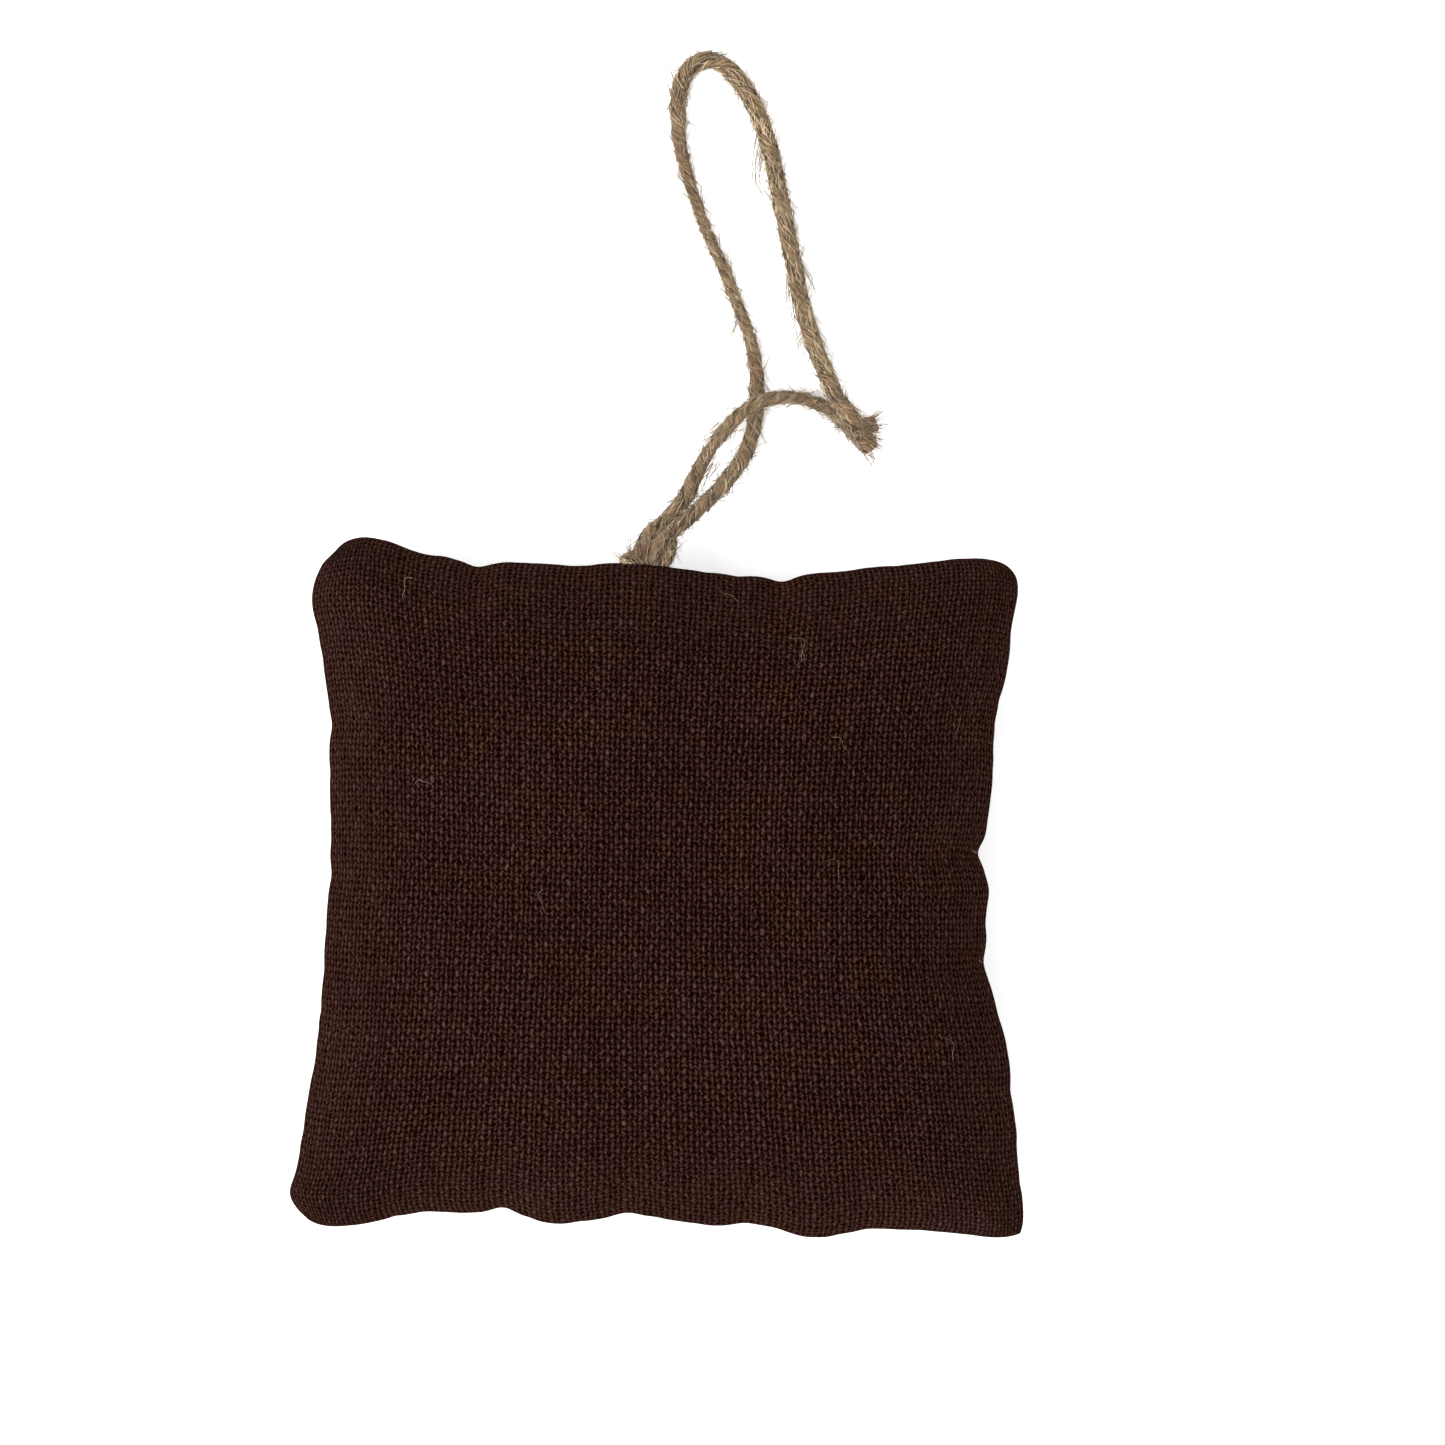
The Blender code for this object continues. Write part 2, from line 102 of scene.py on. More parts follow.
def tube_faces(rings, sides, start=0):
    """Quads of a tube of rings laid one after the other in the vertex list."""
    i, j = np.meshgrid(np.arange(rings - 1), np.arange(sides), indexing="ij")
    a = start + i * sides + j
    b = start + i * sides + (j + 1) % sides
    return np.stack([a, b, b + sides, a + sides], -1).reshape(-1, 4)


def grid_faces(rows, columns, side):
    """Quads of a grid of points laid row after row, which face up (side 1) or down (side -1)."""
    index = np.arange(rows * columns).reshape(rows, columns)
    quads = np.stack([index[:-1, :-1], index[:-1, 1:], index[1:, 1:], index[1:, :-1]], -1).reshape(-1, 4)
    return quads[:, ::side]


def rim_indices(rows, columns):
    """Indices of a grid's outer points, in order around it."""
    index = np.arange(rows * columns).reshape(rows, columns)
    return np.concatenate([index[0, :-1], index[:-1, -1], index[-1, :0:-1], index[:0:-1, 0]])


def grid_normals(points, side):
    """Unit normals of a face's grid of points, outwards from the cushion."""
    normal = np.cross(np.gradient(points, axis=1), np.gradient(points, axis=0))
    return normal * side / (np.linalg.norm(normal, axis=2)[..., None] + 1e-15)


def arc_length(points):
    """Distance travelled at each point."""
    return np.concatenate([[0], np.cumsum(np.linalg.norm(np.diff(points, axis=0), axis=1))])


def points_at(where, travelled, points):
    """Places on a line of points, where is how far along it."""
    return np.stack([np.interp(where, travelled, points[:, k]) for k in range(3)], -1)


def catmull_rom(points, step):
    """Evenly spaced points on the smooth curve through the given ones."""
    p = np.asarray(points, float)
    p = np.vstack([2 * p[0] - p[1], p, 2 * p[-1] - p[-2]])
    t = np.linspace(0, 1, CURVE_STEPS, endpoint=False)[:, None]
    fine = []
    for p0, p1, p2, p3 in zip(p, p[1:], p[2:], p[3:]):
        fine.append((2 * p1 + (p2 - p0) * t + (2 * p0 - 5 * p1 + 4 * p2 - p3) * t ** 2
                     + (3 * p1 - p0 - 3 * p2 + p3) * t ** 3) / 2)
    fine = np.vstack([*fine, p[-2:-1]])
    travelled = arc_length(fine)
    wanted = np.linspace(0, travelled[-1], max(3, round(travelled[-1] / step) + 1))
    return points_at(wanted, travelled, fine)


def carried_frames(points):
    """Unit tangents and two normals at each point, carried along without twist."""
    tangent = np.gradient(points, axis=0)
    tangent /= np.linalg.norm(tangent, axis=1)[:, None]
    normal = np.empty_like(tangent)
    first = np.cross(tangent[0], (0.0, 0.0, 1.0))
    normal[0] = first / np.linalg.norm(first)
    for k in range(1, len(points)):
        n = normal[k - 1] - tangent[k] * normal[k - 1].dot(tangent[k])
        normal[k] = n / np.linalg.norm(n)
    return tangent, normal, np.cross(tangent, normal)


# ---------------- twine

TWINE_DIAMETER = 2.1 * MM
TWINE_LAY = 5.2 * MM            # length of one full turn of the plies
SLACK_LAY = 15.0 * MM           # the same where the twine has come untwisted
PLY_COUNT = 2
PLY_OFFSET = 0.20               # ply middle from the twine's, in twine diameters
PLY_OPENING = 0.20              # what a full spread adds to it
PLY_RADIAL = 0.30               # half thickness of a ply, in twine diameters
PLY_TANGENTIAL = 0.39           # half width of a ply, in twine diameters
PLY_SIDES = 14
PLY_ROLL = 0.8                  # of a ply about itself, in turns for each turn of the lay
RIDGES = (2, 3, 5, 7, 9)        # round a ply, one kind on top of the other
RIDGE_HEIGHT = 0.10             # in ply sizes, shared among the ridges of a kind
SWELL_HEIGHT = 0.05             # of a ply's slow changes in size
RING_STEP = 0.25 * MM           # between the points along a twine
KNOT_MIDDLE = np.array([-0.9, 47.474, 12.5]) * MM
LAID_HEIGHT = TWINE_DIAMETER / 2

# Routes of the strands from the seam knot outwards, as in the CAD: x and y in millimetres from
# the knot's middle, height as a share of the knot's height over the surface, and extra height in
# twine diameters where one strand rides on another. Where the heights are left out they are zero.
LONG_STRAND = [
    (2.1, 2.7, 0.97, 0.2), (4.2, 4.6, 0.84, 0.8), (6.8, 6.9, 0.65, 0.7), (10.2, 10.3, 0.43, 0.25),
    (13.1, 14.3, 0.23, 0), (14.5, 18.3, 0.08, 0), (14.9, 22.3, 0.01, 0), (14.9, 26.3), (14, 31.1),
    (12.6, 35.1), (10.4, 40.7), (8, 46), (6.3, 50.6), (4.9, 55.1), (3.9, 59.4), (3.7, 63.5), (4, 67),
    (5.3, 69.8), (8, 71.1), (10.8, 69.9), (13.1, 67.2), (15.1, 63.3), (16.8, 58.5), (18, 52.8),
    (19.2, 47.1), (20.2, 41.8), (21.4, 36.4), (22.6, 32.1), (24.3, 27.5, 0, 0.3), (25.8, 23.9, 0, 0.8),
    (27.2, 21.2, 0, 1.1)]
SHORT_STRAND = [
    (-0.4, 3.1, 0.9, 0), (1.9, 5, 0.78, 0), (4.5, 8, 0.62, 0), (5.9, 10.9, 0.44, 0.2),
    (7.6, 14.1, 0.27, 0.55), (9.9, 17.5, 0.13, 0.85), (12.6, 20.3, 0.05, 1.2), (15.3, 22, 0, 1.4),
    (18.1, 22.7, 0, 0.9), (21.1, 22.6, 0, 0.3), (23.9, 21.8), (26.7, 20.2)]
# The strands' last stretch into the seam, inside the knot.
LONG_ROOT = [(-1.2, -1.9, 0.97, 0.1), (0.2, 0.6, 1, 0.2)]
SHORT_ROOT = [(-2.1, -1.7, 0.97, -0.1), (-1.7, 0.6, 1, 0)]


def route_point(x, y, share=0.0, riding=0.0):
    """A route entry as a point in the row frame."""
    height = LAID_HEIGHT + share * (KNOT_MIDDLE[2] - LAID_HEIGHT) + riding * TWINE_DIAMETER
    return np.array([KNOT_MIDDLE[0] + x * MM, KNOT_MIDDLE[1] + y * MM, height])


def knot_point(x, y, z):
    """A point in millimetres from the knot's middle."""
    return KNOT_MIDDLE + np.array([x, y, z]) * MM


def route_curve(entries):
    """The middle line of a twine along route entries."""
    return catmull_rom([route_point(*e) for e in entries], RING_STEP)


def knot_curve(places):
    """The middle line of a twine through places given from the knot's middle, in millimetres."""
    return catmull_rom([knot_point(*p) for p in places], RING_STEP)


def profile(value, count):
    """A value at each of a line's points: one number, or stations as (share of the length, value)."""
    if isinstance(value, list):
        share, level = zip(*value)
        return np.interp(np.linspace(0, 1, count), share, level)
    return np.full(count, float(value))


def twine_plies(points, thickness, slack, spread, phase):
    """Vertices, faces and fibre coordinates of two plies laid round a line of points.

    At each point thickness scales the twine, slack from 0 to 1 lengthens its lay and spread opens
    the plies. The fibre coordinates run round each ply and along it in millimetres."""
    travelled = arc_length(points)
    normal, side = carried_frames(points)[1:]
    count = len(points)
    lay = TWINE_LAY + (SLACK_LAY - TWINE_LAY) * slack
    turn = phase - np.concatenate([[0], np.cumsum(np.diff(travelled) / lay[1:])]) * math.tau
    around = np.arange(PLY_SIDES) * math.tau / PLY_SIDES
    verts, faces, fibre = [], [], []
    for ply in range(PLY_COUNT):
        angle = (turn + ply * math.tau / PLY_COUNT)[:, None]
        radial = normal * np.cos(angle) + side * np.sin(angle)
        across = side * np.cos(angle) - normal * np.sin(angle)
        held = around[None, :] - PLY_ROLL * turn[:, None]
        lumps = np.zeros((count, PLY_SIDES))
        for lobes in RIDGES:
            drift, offset = rng.uniform(-900, 900), rng.uniform(0, math.tau)
            lumps += np.cos(lobes * held + drift * travelled[:, None] + offset) / lobes
        swell = 1 + SWELL_HEIGHT * np.cos(rng.uniform(700, 1100) * travelled + rng.uniform(0, 6))
        size = TWINE_DIAMETER * thickness * swell
        relief = (1 + RIDGE_HEIGHT * lumps) * size[:, None]
        middle = points + radial * (size * (PLY_OFFSET + PLY_OPENING * spread))[:, None]
        ring = (middle[:, None, :]
                + radial[:, None, :] * (PLY_RADIAL * relief * np.cos(around))[:, :, None]
                + across[:, None, :] * (PLY_TANGENTIAL * relief * np.sin(around))[:, :, None])
        verts += [ring.reshape(-1, 3), middle[[0, -1]]]
        first = ply * (count * PLY_SIDES + 2)
        last = first + (count - 1) * PLY_SIDES
        here = np.arange(PLY_SIDES)
        beside = np.roll(here, -1)
        cap = np.full(PLY_SIDES, first + count * PLY_SIDES)
        faces += [tube_faces(count, PLY_SIDES, first),
                  np.stack([first + here, cap, first + beside, first + beside], -1),
                  np.stack([last + here, last + beside, cap + 1, cap + 1], -1)]
        coordinates = np.stack([3.0 * ply + np.cos(held) * 0.6, np.sin(held) * 0.6,
                                np.broadcast_to(travelled[:, None] / MM, held.shape)], -1)
        fibre += [coordinates.reshape(-1, 3), coordinates[[0, -1], 0]]
    return np.vstack(verts), np.vstack(faces), np.vstack(fibre)


HAIR_SIDES = 3


def hair_tubes(lines, radii, start=0, tip=0.35):
    """Vertices and faces of fine fibres, all with the same number of points. tip is how thick their
    far ends are, as a share of the near ones."""
    lines = np.asarray(lines)
    count, length = lines.shape[:2]
    tangent = np.gradient(lines, axis=1)
    tangent /= np.linalg.norm(tangent, axis=2)[..., None] + 1e-12
    helper = np.where(np.abs(tangent[..., 2:3]) < 0.8, [[[0, 0, 1.0]]], [[[1.0, 0, 0]]])
    normal = np.cross(tangent, helper)
    normal /= np.linalg.norm(normal, axis=2)[..., None]
    side = np.cross(tangent, normal)
    taper = np.linspace(1, tip, length)
    angle = np.arange(HAIR_SIDES) * math.tau / HAIR_SIDES
    thick = np.asarray(radii)[:, None, None, None] * taper[None, :, None, None]
    ring = lines[:, :, None, :] + thick * (normal[:, :, None, :] * np.cos(angle)[:, None]
                                           + side[:, :, None, :] * np.sin(angle)[:, None])
    faces = [tube_faces(length, HAIR_SIDES, start + k * length * HAIR_SIDES) for k in range(count)]
    return ring.reshape(-1, 3), np.vstack(faces)


FUZZ_PER_MM = 17                # loose fibres on a millimetre of twine
FUZZ_POINTS = 6
FUZZ_RADII = (0.045, 0.088)     # in millimetres
HAIR_LENGTH = 2.7 * MM          # of the longest
HAIR_REACH = 1.5 * MM           # of any hair, outwards from the twine
HAIR_ROOT = 0.42                # from the twine's middle, in twine diameters


def fuzz(points, thickness, per_mm, frayed):
    """Short loose fibres that leave the twine's surface. Those at its ends lean inwards, unless the
    ends are frayed."""
    travelled = arc_length(points)
    tangent, normal, side = carried_frames(points)
    count = int(travelled[-1] / MM * per_mm)
    at = rng.integers(0, len(points), count)
    angle = rng.uniform(0, math.tau, count)[:, None]
    out = normal[at] * np.cos(angle) + side[at] * np.sin(angle)
    sideways = side[at] * np.cos(angle) - normal[at] * np.sin(angle)
    sense = rng.choice([-1, 1], count)
    if not frayed:
        sense = np.where(travelled[at] < HAIR_LENGTH, 1, sense)
        sense = np.where(travelled[at] > travelled[-1] - HAIR_LENGTH, -1, sense)
    along = tangent[at] * sense[:, None]
    root = points[at] + out * (TWINE_DIAMETER * HAIR_ROOT * thickness[at])[:, None]
    each = (count, 1, 1)
    length = np.minimum(rng.gamma(3.0, 0.55, each) * MM, HAIR_LENGTH)
    rise = np.minimum(rng.gamma(1.6, 0.30, each), HAIR_REACH / length)
    drift = rng.uniform(-0.25, 0.25, each)
    curl = rng.uniform(-0.3, 0.3, each)
    t = np.linspace(0, 1, FUZZ_POINTS)[None, :, None]
    lines = root[:, None] + length * (along[:, None] * t + out[:, None] * rise * t ** 1.4
                                      + sideways[:, None] * (drift * t + curl * t ** 2))
    lines[..., 2] = np.maximum(lines[..., 2], 0.1 * MM)
    return lines, rng.uniform(*FUZZ_RADII, count) * MM


LYING_PER_MM = 14               # lying fibres on a millimetre of twine
LYING_POINTS = 8
LYING_RADII = (0.050, 0.105)    # in millimetres
LYING_LEVEL = 0.445             # from the twine's middle, in twine diameters
LIFT_LIMIT = 0.22               # over that level
LYING_TURNS = 0.75              # round the twine, for each turn of the lay


def lying_fibres(points, thickness, slack, cover, per_mm):
    """Fibres that lie along the twine's surface, winding with its twist, their ends a little free.
    cover is the share of them that is there, at each point."""
    travelled = arc_length(points)
    normal, side = carried_frames(points)[1:]
    count = max(4, int(travelled[-1] / MM * per_mm))
    first = rng.uniform(-0.02, 0.98, count) * travelled[-1]
    first = first[rng.uniform(0, 1, count) < np.interp(first, travelled, cover)][:, None]
    each = first.shape
    length = np.minimum(rng.gamma(4.0, 1.0, each) * MM, 0.8 * travelled[-1])
    where = first + length * np.linspace(0, 1, LYING_POINTS)
    margin = 0.15 * (where - first)
    where = np.clip(where, margin, travelled[-1] - margin)
    index = np.clip(np.searchsorted(travelled, where), 0, len(points) - 1)
    wind = rng.normal(0.0, 0.30, each) + LYING_TURNS * (1 - slack[index])
    gone = (where - first) / TWINE_LAY
    wobble = rng.uniform(0, math.tau, each) + gone * rng.uniform(2, 9, each)
    angle = rng.uniform(0, math.tau, each) - math.tau * wind * gone + 0.25 * np.sin(wobble)
    end = np.abs(np.linspace(-1, 1, LYING_POINTS))
    lift = rng.gamma(1.3, 0.035, each) * (0.3 + end ** 3) + 0.005
    size = TWINE_DIAMETER * (LYING_LEVEL * thickness[index] + np.minimum(lift, LIFT_LIMIT))
    out = normal[index] * np.cos(angle)[..., None] + side[index] * np.sin(angle)[..., None]
    lines = points_at(where, travelled, points) + out * size[..., None]
    lines[..., 2] = np.maximum(lines[..., 2], 0.05 * MM)
    return lines, rng.uniform(*LYING_RADII, len(first)) * MM


LYING_TONE, LOOSE_TONE = -20.0, -10.0
TONES = 4.0                     # from the palest to the darkest hair


def hair_tones(verts, count, tone):
    """Fibre coordinates of hairs: their third one starts from the tone and sets each hair's colour."""
    shade = rng.uniform(0, TONES, count).repeat(len(verts) // count)
    return np.stack([shade, shade, tone + shade], -1)


def twine_piece(name, points, thickness=1.0, slack=0.0, spread=0.0, cover=1.0, phase=0.0,
                fuzz_per_mm=FUZZ_PER_MM, lying_per_mm=LYING_PER_MM, frayed=False):
    """A piece of twine with its lying fibres and its fuzz, as one mesh. thickness, slack, spread and
    cover are profiles along it, and phase is the angle at which its first ply starts."""
    thickness, slack, spread, cover = (profile(v, len(points)) for v in (thickness, slack, spread, cover))
    verts, faces, fibre = ([part] for part in twine_plies(points, thickness, slack, spread, phase))
    hairs = (lying_fibres(points, thickness, slack, cover, lying_per_mm),
             fuzz(points, thickness, fuzz_per_mm, frayed))
    total = len(verts[0])
    for tone, (lines, radii) in zip((LYING_TONE, LOOSE_TONE), hairs):
        hair_verts, hair_faces = hair_tubes(lines, radii, total)
        verts.append(hair_verts)
        faces.append(hair_faces)
        fibre.append(hair_tones(hair_verts, len(radii), tone))
        total += len(hair_verts)
    verts = np.vstack(verts)
    verts[:, 2] = np.maximum(verts[:, 2], 0.02 * MM)
    piece = mesh_object(name, verts, np.vstack(faces))
    set_attribute(piece, "fibre", np.vstack(fibre))
    piece.data.materials.append(twine_material())
    return piece


# ---------------- materials

class Nodes:
    """Small helper to write a material's nodes as formulas."""

    def __init__(self, name):
        self.material = bpy.data.materials.new(name)
        self.material.use_nodes = True
        self.tree = self.material.node_tree
        self.shader = self.tree.nodes["Principled BSDF"]

    def link(self, value, socket):
        """Joins an output to a socket, or sets the socket to a number or a colour."""
        if isinstance(value, bpy.types.NodeSocket):
            self.tree.links.new(value, socket)
        else:
            socket.default_value = (*value, 1.0) if isinstance(value, tuple) else value

    def attribute(self, name):
        node = self.tree.nodes.new("ShaderNodeAttribute")
        node.attribute_name = name
        return node.outputs["Vector"]

    def split(self, vector):
        node = self.tree.nodes.new("ShaderNodeSeparateXYZ")
        self.link(vector, node.inputs[0])
        return node.outputs

    def join(self, x, y, z):
        node = self.tree.nodes.new("ShaderNodeCombineXYZ")
        for value, socket in zip((x, y, z), node.inputs):
            self.link(value, socket)
        return node.outputs[0]

    def math(self, operation, a, b=0.0, c=0.0):
        node = self.tree.nodes.new("ShaderNodeMath")
        node.operation = operation
        for value, socket in zip((a, b, c), node.inputs):
            self.link(value, socket)
        return node.outputs[0]

    def plus(self, a, b):
        return self.math("ADD", a, b)

    def times(self, a, b):
        return self.math("MULTIPLY", a, b)

    def position(self):
        return self.tree.nodes.new("ShaderNodeNewGeometry").outputs["Position"]

    def ramp(self, value, low, high, to_low=0.0, to_high=1.0):
        """Maps low..high to to_low..to_high smoothly, clamped."""
        node = self.tree.nodes.new("ShaderNodeMapRange")
        node.interpolation_type = "SMOOTHSTEP"
        for v, socket in zip((value, low, high, to_low, to_high), node.inputs):
            self.link(v, socket)
        return node.outputs[0]

    def noise(self, vector, scale, detail=2.0, roughness=0.5):
        node = self.tree.nodes.new("ShaderNodeTexNoise")
        self.link(vector, node.inputs["Vector"])
        node.inputs["Scale"].default_value = scale
        node.inputs["Detail"].default_value = detail
        node.inputs["Roughness"].default_value = roughness
        return node.outputs["Fac"]

    def stretched(self, a, a_scale, b, b_scale, seed, detail=2.0, roughness=0.5):
        """Noise over two coordinates, each with a scale of its own."""
        place = self.join(self.times(a, a_scale), self.times(b, b_scale), seed)
        return self.noise(place, 1.0, detail, roughness)

    def white(self, vector):
        node = self.tree.nodes.new("ShaderNodeTexWhiteNoise")
        node.noise_dimensions = "3D"
        self.link(vector, node.inputs["Vector"])
        return node.outputs["Value"]

    def blend(self, share, a, b):
        """Mix of two colours."""
        node = self.tree.nodes.new("ShaderNodeMix")
        node.data_type = "RGBA"
        self.link(share, node.inputs["Factor"])
        self.link(a, node.inputs["A"])
        self.link(b, node.inputs["B"])
        return node.outputs["Result"]

    def bump(self, height, distance, strength=1.0):
        node = self.tree.nodes.new("ShaderNodeBump")
        node.inputs["Strength"].default_value = strength
        node.inputs["Distance"].default_value = distance
        self.link(height, node.inputs["Height"])
        return node.outputs["Normal"]

    def set(self, **sockets):
        """Sets the Principled shader's inputs; underscores stand for spaces."""
        for name, value in sockets.items():
            self.link(value, self.shader.inputs[name.replace("_", " ")])
        return self.material


@functools.cache
def twine_material():
    """Straw-brown bast fibre: streaks along the plies, darker between them, pale loose hairs."""
    n = Nodes("twine")
    x, y, z = n.split(n.attribute("fibre"))

    def streaks(along, scale, detail, roughness):
        """Noise drawn out along the plies."""
        return n.noise(n.join(x, y, n.times(z, along)), scale, detail, roughness)

    fine = streaks(0.07, 11.0, 3.0, 0.6)
    broad = streaks(0.16, 2.4, 2.0, 0.5)
    patch = streaks(0.5, 0.5, 1.0, 0.5)
    colour = n.blend(n.ramp(fine, 0.42, 0.60), (0.03, 0.015, 0.006), (0.39, 0.27, 0.15))
    colour = n.blend(n.ramp(broad, 0.40, 0.68, 0.0, 0.65), colour, (0.09, 0.053, 0.025))
    colour = n.blend(n.ramp(patch, 0.35, 0.70, 0.0, 0.35), colour, (0.275, 0.19, 0.106))
    lying = n.blend(n.ramp(z, -19.0, -16.8), (0.034, 0.018, 0.008), (0.7, 0.525, 0.33))
    colour = n.blend(n.math("LESS_THAN", z, -12.0), colour, lying)
    stained = n.ramp(n.noise(n.position(), 75.0, 2.0, 0.5), 0.52, 0.68, 0.0, 0.6)
    stain = n.blend(n.ramp(fine, 0.36, 0.64), (0.055, 0.026, 0.012), (0.26, 0.15, 0.08))
    colour = n.blend(stained, colour, stain)
    loose = n.times(n.math("LESS_THAN", z, -1.0), n.math("GREATER_THAN", z, -12.0))
    hair = n.blend(n.ramp(z, -10.0, -6.0), (0.13, 0.085, 0.045), (0.42, 0.32, 0.205))
    colour = n.blend(loose, colour, hair)
    relief = n.bump(n.plus(fine, n.times(broad, 0.6)), 0.10 * MM)
    return n.set(Base_Color=colour, Roughness=n.ramp(fine, 0.2, 0.8, 0.95, 0.75), Normal=relief,
                 Sheen_Weight=0.15, Sheen_Roughness=0.5, Specular_IOR_Level=0.2)


# ---------------- the loop of twine

def make_strands():
    """The two free strands, which leave the seam at the knot."""
    long_points = route_curve(LONG_ROOT + LONG_STRAND)
    long_strand = twine_piece(
        "long_strand_twine", long_points, phase=0.9,
        thickness=[(0, 1), (0.15, 1.08), (0.25, 1.05), (0.3, 0.84), (0.46, 0.76), (0.5, 0.88),
                   (0.54, 1.12), (0.6, 1.2), (0.75, 1.15), (1, 1.14)],
        slack=[(0, 0.5), (0.12, 0.3), (0.2, 0), (0.52, 0), (0.6, 0.7), (0.7, 1), (1, 0.8)],
        cover=[(0, 1), (0.12, 0.5), (0.2, 0.2), (0.5, 0.25), (0.57, 0.7), (0.65, 1), (1, 1)])
    short_points = route_curve(SHORT_ROOT + SHORT_STRAND)
    short_strand = twine_piece(
        "short_strand_twine", short_points, phase=1.2,
        thickness=[(0, 1), (0.2, 1.05), (0.32, 1.1), (0.48, 0.84), (0.6, 0.95), (1, 0.88)],
        slack=[(0, 0.6), (0.35, 0.4), (0.6, 0.1), (1, 0)],
        cover=[(0, 1), (0.35, 0.7), (0.5, 0.2), (1, 0.25)])
    for piece, node in ((long_strand, "long_strand"), (short_strand, "short_strand")):
        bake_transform(piece)
        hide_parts(node)
    return long_strand, long_points, short_strand, short_points


def make_seam_knot():
    """The twine's turn round the loop's foot, half sunk in the seam, with its cut end on the left."""
    points = knot_curve([
        (-0.4, -2.6, -0.6), (0.3, -0.6, -1.3), (0.9, 1.3, -1.9), (1.7, 2.8, -2), (2.5, 2.5, -1.3),
        (2.5, 1.1, -0.6), (2, -0.4, -0.2), (1, -1.8, 0.1), (-0.5, -2.3, 0.1), (-1.9, -1.9, 0.1),
        (-3, -1, 0.2), (-3.9, 0.2, 0.4)])
    knot = twine_piece("seam_knot_twine", points, fuzz_per_mm=20, lying_per_mm=22, frayed=True,
                       thickness=[(0, 0.85), (0.8, 0.9), (0.92, 1.15), (1, 1)], slack=0.4,
                       spread=[(0, 0), (0.85, 0.1), (1, 0.3)], phase=0.6)
    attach(knot, "root")
    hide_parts("seam_knot")


def make_bight():
    """The fold of twine held between the two rows of the seam."""
    points = knot_curve([(-1.6, -2.3, 0), (-1.6, -5, 0), (-1.1, -6.4, 0), (0, -6.9, 0), (1.1, -6.4, 0),
                         (1.6, -5, 0), (1.6, -2.3, 0)])
    bight = twine_piece("twine_bight_fold", points, fuzz_per_mm=2, thickness=0.9)
    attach(bight, "root")
    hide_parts("twine_bight")


def make_end_join():
    """The two cut ends lapped together: one runs on to a frayed tip, the other comes out beside it."""
    long_tail = route_curve([(26.6, 22.3, 0, 0.95), (27.9, 20.1, 0, 0.8), (29.3, 18.1, 0, 0.4),
                             (30.5, 16.5, 0, 0.15), (31.5, 15.2, 0, 0.1)])
    short_tail = route_curve([(26.2, 20.6), (27.7, 19.3), (29.2, 18.5, 0, 0.1),
                              (30.6, 18.6, 0, 0.25), (32.1, 19.2, 0, 0.3)])
    join = twine_piece("end_join_long_tail", long_tail, fuzz_per_mm=40, lying_per_mm=40, frayed=True,
                       thickness=[(0, 1.2), (0.4, 1.5), (0.85, 1.45), (1, 1)], slack=0.9, phase=2)
    tail = twine_piece("end_join_short_tail", short_tail, fuzz_per_mm=40, lying_per_mm=36, frayed=True,
                       thickness=[(0, 1), (0.35, 1.3), (0.8, 1.1), (1, 0.85)], slack=0.7,
                       spread=[(0, 0), (0.7, 0.1), (1, 0.4)])
    for piece in (join, tail):
        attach(piece, "hanging_loop")
    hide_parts("end_join")
    return join, tail


# Fibres that have come loose beside the loop: how many, how far they spread, their height over the
# surface and their route from the knot's middle, all in millimetres.
FLYAWAYS = [
    (4, 0.5, 0.8, [(3.4, 65.5), (3, 69), (2.5, 72.2)]),
    (1, 0.1, 0.5, [(4.5, 62.5), (6.8, 61.6), (9.7, 63), (13.2, 65.6)]),
    (1, 0.1, 0.5, [(10.4, 60.1), (8.5, 55.8), (7.5, 52.2)]),
    (10, 0.35, 0.8, [(15.9, 60.5), (15.1, 56.5), (15, 53), (17, 50)]),
    (5, 0.4, 0.8, [(19.6, 40), (20.2, 34), (21.8, 28)]),
    (6, 0.4, 0.8, [(20.8, 42.5), (22.7, 39.3), (23.8, 36.4)]),
    (6, 0.4, 0.8, [(22.9, 33.5), (24.2, 31), (26, 28.6)]),
    (7, 0.35, 0.8, [(12.5, 35.4), (11.8, 33), (10.7, 30.1)]),
    (9, 0.4, 4.2, [(9.9, 19), (8.2, 17.3), (7.4, 16.2)]),
    (10, 0.4, 5.8, [(8.9, 13.4), (7.8, 11.6), (6.6, 9.6)]),
    (6, 0.4, 1.4, [(14.6, 27), (15.3, 25.4), (16.3, 23.4)]),
    (9, 0.5, 1.2, [(31, 17.6), (32.2, 17.4), (33, 16.8)]),
    (7, 0.5, 0.8, [(30.4, 15.4), (31.2, 14), (31.9, 13)]),
    (7, 0.5, 0.8, [(23, 33), (21, 30.5), (19.8, 28)])]
FLYAWAY_POINTS = 12
FLYAWAY_RADII = (0.048, 0.082)  # in millimetres


def fibre_piece(name, lines, radii):
    """A piece made of single pale fibres."""
    verts, faces = hair_tubes(lines, radii)
    piece = mesh_object(name, verts, faces)
    set_attribute(piece, "fibre", hair_tones(verts, len(radii), LOOSE_TONE))
    piece.data.materials.append(twine_material())
    return piece


